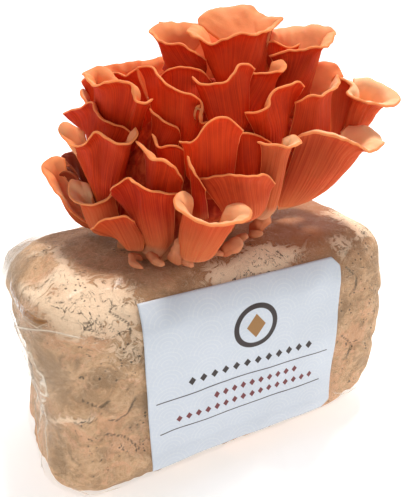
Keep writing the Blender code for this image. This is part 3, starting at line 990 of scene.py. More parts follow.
@dataclass
class GrowBlock:
    """The bagged block: one rounded box gives the substrate, the film and the label."""

    length: float = 205.0
    depth: float = 105.0
    height: float = 121.0
    radius: float = 25.0
    film: float = 0.4
    gap: float = 0.35
    fold_depth: float = 5.0
    fold_level: float = 52.0
    fold_reach: float = 30.0
    cluster_turn: float = -VIEW_TURN
    opening: tuple = (-4.0, -15.0, 41.0, 25.0, 25.0)
    corner_segments: int = 16
    long_points: int = 94
    short_points: int = 40
    top_rings: int = 42
    wall_rings: int = 45
    edge_rings: int = 12
    floor_rings: tuple = (0.7, 0.35)
    label_left: float = -53.0
    label_right: float = 56.5
    label_cut: float = 4.5
    label_bottom: float = 16.0
    label_top: float = 111.0
    label_thickness: float = 0.24
    label_gap: float = 0.45
    label_points: tuple = (96, 100)
    label_fade: tuple = (6.0, 5.0, 4.0)
    edge_fill: float = 2.0
    swell_height: float = 22.0
    foot_height: float = 12.0
    ridge_crust: float = 0.9
    deepest_shade: float = 0.9
    top_hold: float = 0.85
    crease_reach: float = 4.0
    wall_swell: Relief = Relief(((3, 95.0, 0.6), (4, 38.0, 0.45)), -0.4)
    crinkle: Relief = Relief(((8, 11.0, 0.25), (9, 5.5, 0.10)), 0.3)
    lumps: Relief = Relief(((21, 26.0, 1.0), (22, 11.0, 0.9), (23, 5.0, 0.45)), -1.3)
    wrinkle: Relief = Relief(((41, 24.0, 0.20), (42, 9.0, 0.06)))
    dents: tuple = (
        Spot((-101, 27, 100), 20, 2.4),
        Spot((-86, 44, 114), 12, -1.6),
        Spot((-102, -10, 74), 15, -2.2),
        Spot((-102, 0, 24), 22, 2.4),
        Spot((-96, -36, 10), 12, -1.0),
        Spot((82, -25, 121), 20, -1.3),
        Spot((95, 10, 117), 16, -1.6),
        Spot((98, -40, 100), 14, -2.4),
        Spot((92, -48, 62), 24, 1.6),
        Spot((83, -44, 7), 15, -3.0),
    )
    # hollows pressed into the substrate; the material also darkens sunk places as painted shade
    hollows: tuple = (
        Spot((-98, 44, 114), 17, -5.0),
        Spot((-93, -22, 115), 10, -3.0),
        Spot((-97, -40, 84), 12, -2.5),
        Spot((-88, -8, 120), 8, -2.5),
    )
    tents: tuple = (
        Spot((-96, 46, 112), 15, 1.1),
        Spot((-102, 20, 112), 12, 0.35),
        Spot((-96, -36, 104), 9, 0.45),
        Spot((-97, -42, 84), 12, 0.40),
        Spot((-100, -26, 52), 15, 0.30),
    )
    # crusts of mycelium; those on the front shoulder and the top's right end also stand for painted
    # sunlit patches
    crusts_and_sunlit_patches: tuple = (
        Spot((-74, -38, 116), 13),
        Spot((-60, -45, 108), 13),
        Spot((-86, -20, 118), 9),
        Spot((-80, -46, 110), 8, 1.2),
        Spot((-58, -52, 88), 12, 0.6),
        Spot((8, -44, 114), 9, 1.5),
        Spot((20, -41, 116), 9, 1.5),
        Spot((-12, -45, 114), 8),
        Spot((62, -44, 115), 7),
        Spot((86, -20, 117), 12, 1.3),
        Spot((80, -36, 114), 8, 1.5),
        Spot((96, -6, 112), 8, 0.6),
    )
    flecked: tuple = (
        Spot((94, -36, 100), 26, 1.2),
        Spot((70, -52, 96), 14, 1.0),
        Spot((88, -48, 64), 26, 0.9),
        Spot((-62, -52, 84), 22, 0.9),
        Spot((-70, -52, 40), 24, 0.7),
        Spot((-94, 6, 112), 16, 0.8),
    )
    # painted shadow: where the cluster shades the block's top, and along its far top edge
    painted_shadows: tuple = (
        Spot((38, -26, 121), 32, 0.95),
        Spot((66, -4, 121), 26, 0.85),
        Spot((86, 4, 119), 16, 0.50),
        Spot((62, 40, 116), 26, 0.85),
        Spot((88, 36, 112), 20, 0.70),
        Spot((0, -38, 119), 24, 0.60),
        Spot((-42, -28, 121), 26, 0.55),
        Spot((-40, 30, 121), 34, 0.5),
        Spot((30, 36, 120), 30, 0.5),
    )
    ridges: tuple = (
        Crease(((-87, 11, 119), (-83, 9, 120), (-79, 10, 120), (-76, 2, 120), (-76, -10, 120),
                (-77, -24, 120), (-75, -34, 119)), 2.2, 4.0),
        Crease(((-98, -6, 110), (-94, -24, 114), (-88, -38, 114), (-78, -47, 110)), 1.6, 4.0),
        Crease(((-97, -32, 50), (-92, -44, 58), (-87, -49, 60), (-80, -52, 59)), 1.2, 3.0),
        Crease(((-6, -45, 113), (8, -44, 114), (20, -41, 116), (34, -42, 116)), 1.4, 5.0),
    )
    # grooves in the substrate, which the material darkens as painted shade
    cracks: tuple = (
        Crease(((-58, -52, 62), (-62, -52, 54), (-67, -52, 52), (-71, -52, 54)), 1.4, 2.2),
        Crease(((-74, -52, 48), (-66, -52, 43), (-61, -52, 35), (-58, -52, 30)), 1.6, 2.4),
        Crease(((-82, -50, 70), (-74, -52, 62), (-70, -52, 66)), 1.0, 2.0),
        Crease(((-73, -50, 108), (-76, -49, 109), (-77, -50, 107), (-73, -51, 105)), 1.0, 1.8),
        Crease(((-64, -48, 110), (-58, -50, 104), (-57, -51, 96)), 1.0, 1.8),
        Crease(((62, -50, 104), (70, -52, 96), (68, -52, 84)), 0.9, 1.8),
        Crease(((80, -50, 90), (88, -47, 80), (86, -48, 68)), 0.9, 2.0),
        Crease(((64, -52, 60), (72, -52, 52), (70, -52, 40)), 0.9, 2.0),
        Crease(((-40, 52, 90), (-20, 52, 70), (-24, 52, 50)), 1.2, 2.4),
        Crease(((40, 52, 80), (56, 52, 62), (52, 52, 40)), 1.2, 2.4),
    )
    creases: tuple = (
        Crease(((-101, 4, 108), (-100.5, -4, 107.6), (-100, -13, 107.8), (-98.5, -28, 110.6),
                (-96, -38, 111.8), (-93.5, -42.6, 111.3), (-91.4, -44.3, 111.2)), 0.9, 3.2, 1.0),
        Crease(((-102, -22, 99), (-100, -32, 104), (-96, -41, 107), (-91, -46, 108),
                (-86, -49, 107), (-79, -51, 104)), 1.0, 2.4),
        Crease(((-101, -30, 103), (-98, -38, 96), (-95, -45, 86), (-95, -45, 74)), 0.8, 1.8),
        Crease(((-98, -41, 98), (-96, -44, 85), (-97, -38, 66), (-99, -26, 50), (-99, -20, 34)),
               0.8, 1.7),
        Crease(((-95, -45, 78), (-97, -36, 60), (-98, -32, 46), (-96, -36, 28)), 0.7, 1.6),
        Crease(((-101, -16, 84), (-101, -22, 66), (-100, -14, 48)), 0.8, 1.8),
        Crease(((-102, 2, 92), (-102, -6, 72), (-102, -2, 52)), 0.9, 2.0),
        Crease(((-100, -8, 46), (-99, -22, 30), (-96, -36, 16)), 0.7, 1.6),
        Crease(((-90, -47, 20), (-84, -50, 14), (-70, -50, 12)), 0.6, 1.6),
        Crease(((-100, 30, 110), (-94, 42, 112), (-84, 48, 112)), 0.9, 2.4),
        Crease(((98, -40, 92), (99, -38, 70), (98, -40, 48)), 0.6, 2.2),
        Crease(((62, -51, 22), (74, -50, 16), (88, -46, 18)), 0.5, 1.8),
        Crease(((-88, 46, 104), (-94, 42, 84), (-92, 43, 60), (-96, 38, 36)), 0.7, 1.8),
        Crease(((102, 20, 96), (102, 14, 60), (102, 22, 30)), 0.9, 2.4),
    )

    def outline(self) -> tuple:
        """The plan as cores and directions, counter-clockwise.

        Returns:
            Two arrays of x, y: a plan point is core + distance * direction.
        """
        reach_x = self.length / 2 - self.radius
        reach_y = self.depth / 2 - self.radius
        corners = ((reach_x, -reach_y, -90), (reach_x, reach_y, 0),
                   (-reach_x, reach_y, 90), (-reach_x, -reach_y, 180))
        side_points = (self.short_points, self.long_points) * 2
        cores = []
        directions = []
        for number, (x, y, start) in enumerate(corners):
            for step in range(self.corner_segments + 1):
                angle = math.radians(start + 90 * step / self.corner_segments)
                cores.append((x, y))
                directions.append((math.cos(angle), math.sin(angle)))
            next_x, next_y, _ = corners[(number + 1) % len(corners)]
            for step in range(1, side_points[number] + 1):
                share = step / (side_points[number] + 1)
                cores.append((x + (next_x - x) * share, y + (next_y - y) * share))
                directions.append(directions[-1])
        return np.array(cores), np.array(directions)

    def top(self, x: np.ndarray, y: np.ndarray, inset: float) -> np.ndarray:
        """Height of the box's upper side.

        Args:
            x: places along its length.
            y: places along its depth.
            inset: how far inside the film's outside it lies.

        Returns:
            A height for each place.
        """
        over_x = np.maximum(np.abs(x) - (self.length / 2 - self.radius), 0)
        over_y = np.maximum(np.abs(y) - (self.depth / 2 - self.radius), 0)
        radius = self.radius - inset
        left = np.maximum(radius ** 2 - over_x ** 2 - over_y ** 2, 0)
        return self.height - self.radius + np.sqrt(left)

    def opening_ellipse(self) -> Ellipse:
        """The film's opening in the block's frame.

        Returns:
            Its outline.
        """
        across, away, half_width, half_depth, turn = self.opening
        middle = turned(np.array((across, away, 0.0)), self.cluster_turn)[:2]
        return Ellipse(middle, half_width, half_depth, math.radians(self.cluster_turn + turn))

    def rings(self, inset: float, shares: np.ndarray) -> np.ndarray:
        """Rings of points from the opening down to the underside.

        Args:
            inset: how far inside the film's outside the rings lie.
            shares: places of the upper rings between the outline, 0, and the opening, 1.

        Returns:
            Rows by columns of points.
        """
        cores, directions = self.outline()
        radius = self.radius - inset
        edge = cores + directions * radius
        rim = self.opening_ellipse().edge(edge)
        rows = []
        for share in shares:
            plan = edge + (rim - edge) * share
            rows.append(np.c_[plan, self.top(plan[:, 0], plan[:, 1], inset)])
        for level in np.linspace(self.height - self.radius, self.radius, self.wall_rings + 1)[1:]:
            fall = np.clip(1 - abs(level - self.fold_level) / self.fold_reach, 0, None)
            end = np.clip(-edge[:, 0] - (self.length / 2 - self.radius), 0, None) / self.radius
            x = edge[:, 0] + self.fold_depth * fall * end
            rows.append(np.c_[x, edge[:, 1], np.full(len(edge), level)])
        for degrees in np.linspace(0, 90, self.edge_rings + 1)[1:]:
            angle = math.radians(degrees)
            plan = cores + directions * radius * math.cos(angle)
            level = self.radius - radius * math.sin(angle)
            rows.append(np.c_[plan, np.full(len(edge), level)])
        plan = rows[-1]
        for share in self.floor_rings:
            rows.append(plan * (share, share, 1.0))
        return np.array(rows)

    def settle(self, surface: np.ndarray) -> np.ndarray:
        """How far the whole block swells out or in.

        Args:
            surface: points on the block.

        Returns:
            Millimetres at each point, positive outward.
        """
        level = surface[..., 2]
        stand = fade(level, 0.0, self.swell_height) ** 1.5
        lean = np.arcsin(1 - fade(level, 0.0, self.radius))
        rise = self.wall_swell.at(surface) * stand + np.sin(2 * lean) * self.edge_fill
        return rise + sum(dent.at(surface) for dent in self.dents)

    def label_mask(self, points: np.ndarray) -> np.ndarray:
        """Which part of the film the label covers.

        Args:
            points: points on the film.

        Returns:
            1 under the label, falling to 0 a little way outside it.
        """
        x, y, z = np.moveaxis(points, -1, 0)
        side, below, above = self.label_fade
        wide = (fade(x, self.label_left - side, self.label_left)
                * fade(x, self.label_right + side, self.label_right))
        tall = (fade(z, self.label_bottom - below, self.label_bottom)
                * fade(z, self.label_top + above, self.label_top))
        return wide * tall * (y < 0)

    def traced(self, creases: tuple, points: np.ndarray, normals: np.ndarray) -> tuple:
        """What a set of creases does to a surface.

        Args:
            creases: the creases.
            points: points on the surface.
            normals: the surface's outward normals there.

        Returns:
            The lift in millimetres, the strength from 0 to 1, the distance to the nearest
            crease, at most crease_reach, and that crease's amber.
        """
        lift = np.zeros(points.shape[:-1])
        fold = np.zeros(points.shape[:-1])
        across = np.full(points.shape[:-1], self.crease_reach)
        amber = np.zeros(points.shape[:-1])
        for crease in creases:
            strength, distance = crease.at(points, normals)
            lift += strength * crease.height
            fold = np.maximum(fold, strength)
            closer = np.abs(distance) < np.abs(across)
            across = np.where(closer, distance, across)
            amber = np.where(closer, crease.amber, amber)
        return lift, fold, across, amber

    def folds(self, points: np.ndarray, normals: np.ndarray) -> tuple:
        """The film's own creases.

        Args:
            points: points on the film.
            normals: the film's outward normals there.

        Returns:
            The lift in millimetres, and the attributes fold, fold_mm and amber.
        """
        lift, fold, across, amber = self.traced(self.creases, points, normals)
        stand = fade(points[..., 2], 0.0, self.foot_height)
        free = 1 - self.label_mask(points)
        attributes = {"fold": fold * free, "fold_mm": across, "amber": amber * free}
        return (lift + self.crinkle.at(points)) * free * stand, attributes

    def top_shares(self) -> np.ndarray:
        """Places of the upper rings, closer together towards the outline."""
        return np.linspace(1, 0, self.top_rings) ** 1.5

    def build_film(self, material: bpy.types.Material) -> None:
        """The film, a closed skin that is open where the cluster comes out.

        Args:
            material: its material.
        """
        surface = self.rings(0.0, self.top_shares())
        normals = -grid_normals(surface, closed=True)
        lift, attributes = self.folds(surface, normals)
        attributes["tent"] = sum(tent.at(surface) for tent in self.tents)
        outer = surface + normals * (self.settle(surface) + lift)[..., None]
        outer[..., 2] = np.maximum(outer[..., 2], 0.0)
        thickness = self.film * 0.5
        inner = outer - normals * thickness
        inner[..., 2] = np.maximum(inner[..., 2], thickness)
        rows, columns, _ = outer.shape
        count = rows * columns
        points = np.concatenate([outer.reshape(-1, 3), inner.reshape(-1, 3),
                                 [(0, 0, 0), (0, 0, thickness)]])
        faces = np.concatenate([
            grid_faces(rows, columns, 0, True, True),
            grid_faces(rows, columns, count, True),
            strip_faces(np.arange(columns), np.arange(columns) + count),
            fan_faces(np.arange(count - columns, count), 2 * count, True),
            fan_faces(np.arange(2 * count - columns, 2 * count), 2 * count + 1)])
        values = {name: np.r_[value.ravel(), value.ravel(), 0.0, 0.0]
                  for name, value in attributes.items()}
        make_piece("bag_film", MeshData(points, faces, values), material, Slot.FILM,
                   ("grow_bag",))

    def build_substrate(self, material: bpy.types.Material) -> None:
        """The block of substrate inside the film, lumpy and closed on top.

        Args:
            material: its material.
        """
        floor = self.film + self.gap
        surface = self.rings(floor, self.top_shares())
        normals = -grid_normals(surface, closed=True)
        lift, raised, _, _ = self.traced(self.ridges, surface, normals)
        # the cracks' strength also carries painted shade into the colour
        groove, crack_shade_strength, across, _ = self.traced(self.cracks, surface, normals)
        # crust strength, part of it painted sunlit patches, plus the crust along the ridges
        crusty = sum(spot.at(surface) for spot in self.crusts_and_sunlit_patches) + raised * self.ridge_crust
        flecked = sum(spot.at(surface) for spot in self.flecked)
        # painted shadow from the cluster, no deeper than deepest_shade
        shade = np.clip(sum(spot.at(surface) for spot in self.painted_shadows), 0, self.deepest_shade)
        stand = fade(surface[..., 2], 0.0, self.foot_height)
        hollow = sum(spot.at(surface) for spot in self.hollows) + lift - groove
        upper = np.clip(normals[..., 2] * 1.8, 0, 1)
        sunk = np.minimum(self.lumps.at(surface), 0.0) * (1 - self.top_hold * upper)
        depth = np.minimum(sunk + hollow, 0.0)
        press = self.settle(surface) + depth * stand
        skin = surface + normals * press[..., None]
        skin[..., 2] = np.maximum(skin[..., 2], floor)
        rows, columns, _ = skin.shape
        count = rows * columns
        middle = self.opening_ellipse().middle
        points = np.concatenate([skin.reshape(-1, 3),
                                 [(*middle, self.height - floor - 1.0), (0, 0, floor)]])
        faces = np.concatenate([
            grid_faces(rows, columns, 0, True, True),
            fan_faces(np.arange(columns), count),
            fan_faces(np.arange(count - columns, count), count + 1, True)])
        attributes = {"crusty": crusty, "flecked": flecked, "sunk": -depth, "crack": crack_shade_strength,
                      "crack_mm": np.abs(across), "shade": shade}
        attributes = {name: np.r_[value.ravel(), 0, 0] for name, value in attributes.items()}
        make_piece("substrate", MeshData(points, faces, attributes), material, Slot.SUBSTRATE,
                   ("substrate_block",))

    def build_label(self, material: bpy.types.Material) -> None:
        """The paper label on the film's front.

        Args:
            material: its material.
        """
        rows, columns = self.label_points
        z = np.linspace(self.label_bottom, self.label_top, rows)
        corner = np.minimum(z - self.label_bottom, self.label_top - z)
        right = self.label_right - np.maximum(self.label_cut - corner, 0)
        share = np.linspace(0, 1, columns)[None, :]
        x = self.label_left + (right[:, None] - self.label_left) * share
        over = np.where(z > self.height / 2, np.maximum(z - (self.height - self.radius), 0),
                        np.minimum(z - self.radius, 0))
        lean = np.arcsin(over / self.radius)
        base = -(self.depth / 2 - self.radius) - self.radius * np.cos(lean)
        surface = np.stack(np.broadcast_arrays(x, base[:, None], z[:, None]), axis=-1)
        normals = np.stack(np.broadcast_arrays(
            np.zeros((1, columns)), -np.cos(lean)[:, None], np.sin(lean)[:, None]), axis=-1)
        lift = self.settle(surface) + self.wrinkle.at(surface) + self.label_gap
        back = surface + normals * lift[..., None]
        front = back + normals * self.label_thickness
        faces = slab_faces(rows, columns, rows * columns, 0)
        across = (x - self.label_left).ravel()
        up = np.repeat(z - self.label_bottom, columns)
        attributes = {"across_mm": np.r_[across, across], "up_mm": np.r_[up, up]}
        points = np.concatenate([back.reshape(-1, 3), front.reshape(-1, 3)])
        make_piece("paper_label", MeshData(points, faces, attributes), material, Slot.LABEL,
                   ("label",))

    def build(self) -> None:
        """Make and dress the block's three pieces."""
        self.build_substrate(SubstrateFinish().material())
        self.build_film(FilmFinish().material())
        self.build_label(LabelFinish().material())


# ---------------------------------------------------------------- cluster


def smooth_curve(points: tuple, count: int) -> np.ndarray:
    """Evenly spaced points on a centripetal Catmull-Rom curve.

    Args:
        points: the points that the curve passes through.
        count: how many points are wanted.

    Returns:
        An array of points.
    """
    knots = np.array(points, dtype=float)
    steps = np.sqrt(np.linalg.norm(np.diff(knots, axis=0), axis=1))
    slopes = np.diff(knots, axis=0) / steps[:, None]
    tangents = np.empty_like(knots)
    tangents[0] = slopes[0]
    tangents[-1] = slopes[-1]
    before = steps[:-1, None]
    after = steps[1:, None]
    tangents[1:-1] = (slopes[:-1] * after + slopes[1:] * before) / (before + after)
    t = np.linspace(0, 1, 40)[:, None]
    pieces = []
    for index, step in enumerate(steps):
        pieces.append((2 * t ** 3 - 3 * t ** 2 + 1) * knots[index]
                      + (t ** 3 - 2 * t ** 2 + t) * step * tangents[index]
                      + (3 * t ** 2 - 2 * t ** 3) * knots[index + 1]
                      + (t ** 3 - t ** 2) * step * tangents[index + 1])
    fine = np.concatenate(pieces)
    lengths = np.r_[0, np.cumsum(np.linalg.norm(np.diff(fine, axis=0), axis=1))]
    wanted = np.linspace(0, lengths[-1], count)
    return np.stack([np.interp(wanted, lengths, fine[:, axis]) for axis in range(3)], axis=1)


def heading(degrees: float) -> np.ndarray:
    """The level direction of a bearing, 0 towards the shown side and positive to its right."""
    angle = math.radians(degrees)
    return np.array((math.sin(angle), -math.cos(angle), 0.0))


@dataclass(frozen=True)
class ClusterBase:
    """The solid middle of the cluster, whose surface shows the fused stems."""

    rings: tuple = (
        (120.5, -4, -15, 40, 24, 25),
        (130.0, -2, -12, 41, 25, 18),
        (145.0, 1, -8, 44, 24, 8),
        (160.0, 4, -4, 46, 20, 0),
        (172.0, 7, -2, 43, 15, 0),
        (182.0, 10, -1, 36, 11, 0),
        (190.0, 14, 0, 26, 8, 0),
        (197.0, 16, 1, 12, 5, 0),
    )
    stems: int = 30
    stem_relief: float = 1.3
    stem_lean: float = 0.03
    stem_wander: tuple = (0.8, 3.0, 0.05)
    stem_roundness: float = 0.6
    foot_pull: float = 5.5
    right_pull: float = 10.5
    pull_level: float = 139.0
    pull_height: float = 12.0
    root_angle: float = 0.20
    settle_height: float = 10.0
    foot_gap: float = 0.2
    end_bulges: tuple = (0.6, 1.0)
    rough: Relief = Relief(((31, 13.0, 0.7), (32, 5.0, 0.25)), -0.5)
    sides: int = 180
    rows: int = 64

    def section(self, level: float, margin: float = 0.0) -> Ellipse:
        """The base's outline at a height.

        Args:
            level: the height.
            margin: how far outside the base the outline lies.

        Returns:
            The outline.
        """
        heights, *columns = np.array(self.rings, dtype=float).T
        x, y, half_width, half_depth, turn = (float(np.interp(level, heights, column))
                                              for column in columns)
        return Ellipse(np.array((x, y)), half_width + margin, half_depth + margin,
                       math.radians(turn))

    def on_surface(self, x: float, y: float, level: float, stand_off: float) -> np.ndarray:
        """A point outside the base, on the ray from its middle through x, y.

        Args:
            x: the place across.
            y: the place away.
            level: the height.
            stand_off: how far outside the base the point lies.

        Returns:
            The point.
        """
        return np.array((*self.section(level, stand_off).edge(np.array((x, y))), level))

    def pull(self, angles: np.ndarray, level: float, roots: tuple) -> np.ndarray:
        """How far the foot draws in between the stems.

        Args:
            angles: angles round the base.
            level: the height.
            roots: x and y of the low stems' necks, where it keeps its full width.

        Returns:
            Millimetres at each angle.
        """
        section = self.section(level)
        kept = np.zeros(len(angles))
        for place in roots:
            along, across = section.own(np.array(place))
            away = np.abs((angles - math.atan2(across, along) + math.pi) % (2 * math.pi) - math.pi)
            kept = np.maximum(kept, np.exp(-(away / self.root_angle) ** 4))
        low = 1 - fade(level, self.pull_level - self.pull_height, self.pull_level)
        right = np.clip(np.cos(angles + section.turn) * 2.0, 0, 1)
        return low * (1 - kept) * (self.foot_pull + self.right_pull * right)

    def build(self, block: GrowBlock, material: bpy.types.Material, roots: tuple) -> None:
        """Make the base.

        Args:
            block: the block that it stands on.
            material: its material.
            roots: x and y of the low stems' necks.
        """
        low = self.rings[0][0]
        high = self.rings[-1][0]
        angles = 2 * math.pi * np.arange(self.sides) / self.sides
        rows = []
        reach, waves, climb = self.stem_wander
        for share in np.linspace(0, 1, self.rows):
            level = low + (high - low) * share
            bend = reach * np.sin(angles * waves + level * climb)
            flute = np.abs(np.sin(angles * self.stems / 2 + level * self.stem_lean + bend))
            shrink = (self.stem_relief * (1 - flute ** self.stem_roundness)
                      + self.pull(angles, level, roots))
            rows.append(self.section(level).ring(angles, shrink, level))
        surface = turned(np.array(rows), block.cluster_turn)
        x, y, foot = surface[0].T
        drop = block.top(x, y, block.film + block.gap) + self.foot_gap - foot
        share = np.linspace(0, 1, self.rows)
        hold = 1 - fade(share * (high - low), 0.0, self.settle_height)
        surface[..., 2] += drop[None, :] * hold[:, None]
        normals = -grid_normals(surface, closed=True)
        rough = self.rough.at(surface) * np.clip(share * 12, 0, 1)[:, None]
        surface = surface - normals * rough[..., None]
        ends = [surface[row].mean(axis=0) + UP * bulge
                for row, bulge in zip((0, -1), self.end_bulges)]
        points = np.concatenate([surface.reshape(-1, 3), ends])
        make_piece("fused_stems", MeshData(points, tube_faces(self.rows, self.sides)), material,
                   Slot.BASE, ("cluster_base",))


@dataclass(frozen=True)
class Mushroom:
    """One fruit body, in the cluster's frame.

    facing is the bearing that its gills face and spread the half angle of its neck's arc. lip is
    the angle at which the rim climbs and reach the share of the sheet that the lip takes. flare
    bends the sheet up or out above the neck. drop is how far below the neck the stem meets the
    base, and stand_off how far outside the base it starts. The last two fields tint the flesh: a
    brown that is painted shade on forms that sit in shade, and a paleness that makes it paler, and
    on the cap side is partly painted light.
    """

    name: str
    facing: float
    spread: float
    lip: float
    neck: tuple
    width: float
    rim: tuple
    flare: float = 0.1
    drop: float = 10.0
    depth: float = 5.0
    stand_off: float = 4.0
    reach: float = 0.26
    brown: float = 0.0
    pale: float = 0.0

    def placed(self, name: str, turn: float, outward: float, scale: float, lift: float,
               widening: float, pivot: tuple = (3.0, -7.0, 0.0)) -> "Mushroom":
        """A copy of this form on the far side.

        Args:
            name: the copy's name.
            turn: degrees about the cluster's middle.
            outward: step outward after the turn.
            scale: its scale across.
            lift: its step up.
            widening: the change of its neck's half width.
            pivot: the cluster's middle.

        Returns:
            The placed mushroom.
        """
        facing = self.facing + turn
        shift = np.array(pivot) + heading(facing) * outward + UP * lift

        def moved(point: tuple) -> tuple:
            """One point of the form in its new place."""
            scaled = (np.array(point, dtype=float) - pivot) * (scale, scale, 1.0)
            return tuple(turned(scaled, turn) + shift)

        return replace(self, name=name, facing=facing, neck=moved(self.neck),
                       rim=tuple(moved(point) for point in self.rim),
                       width=self.width + widening)


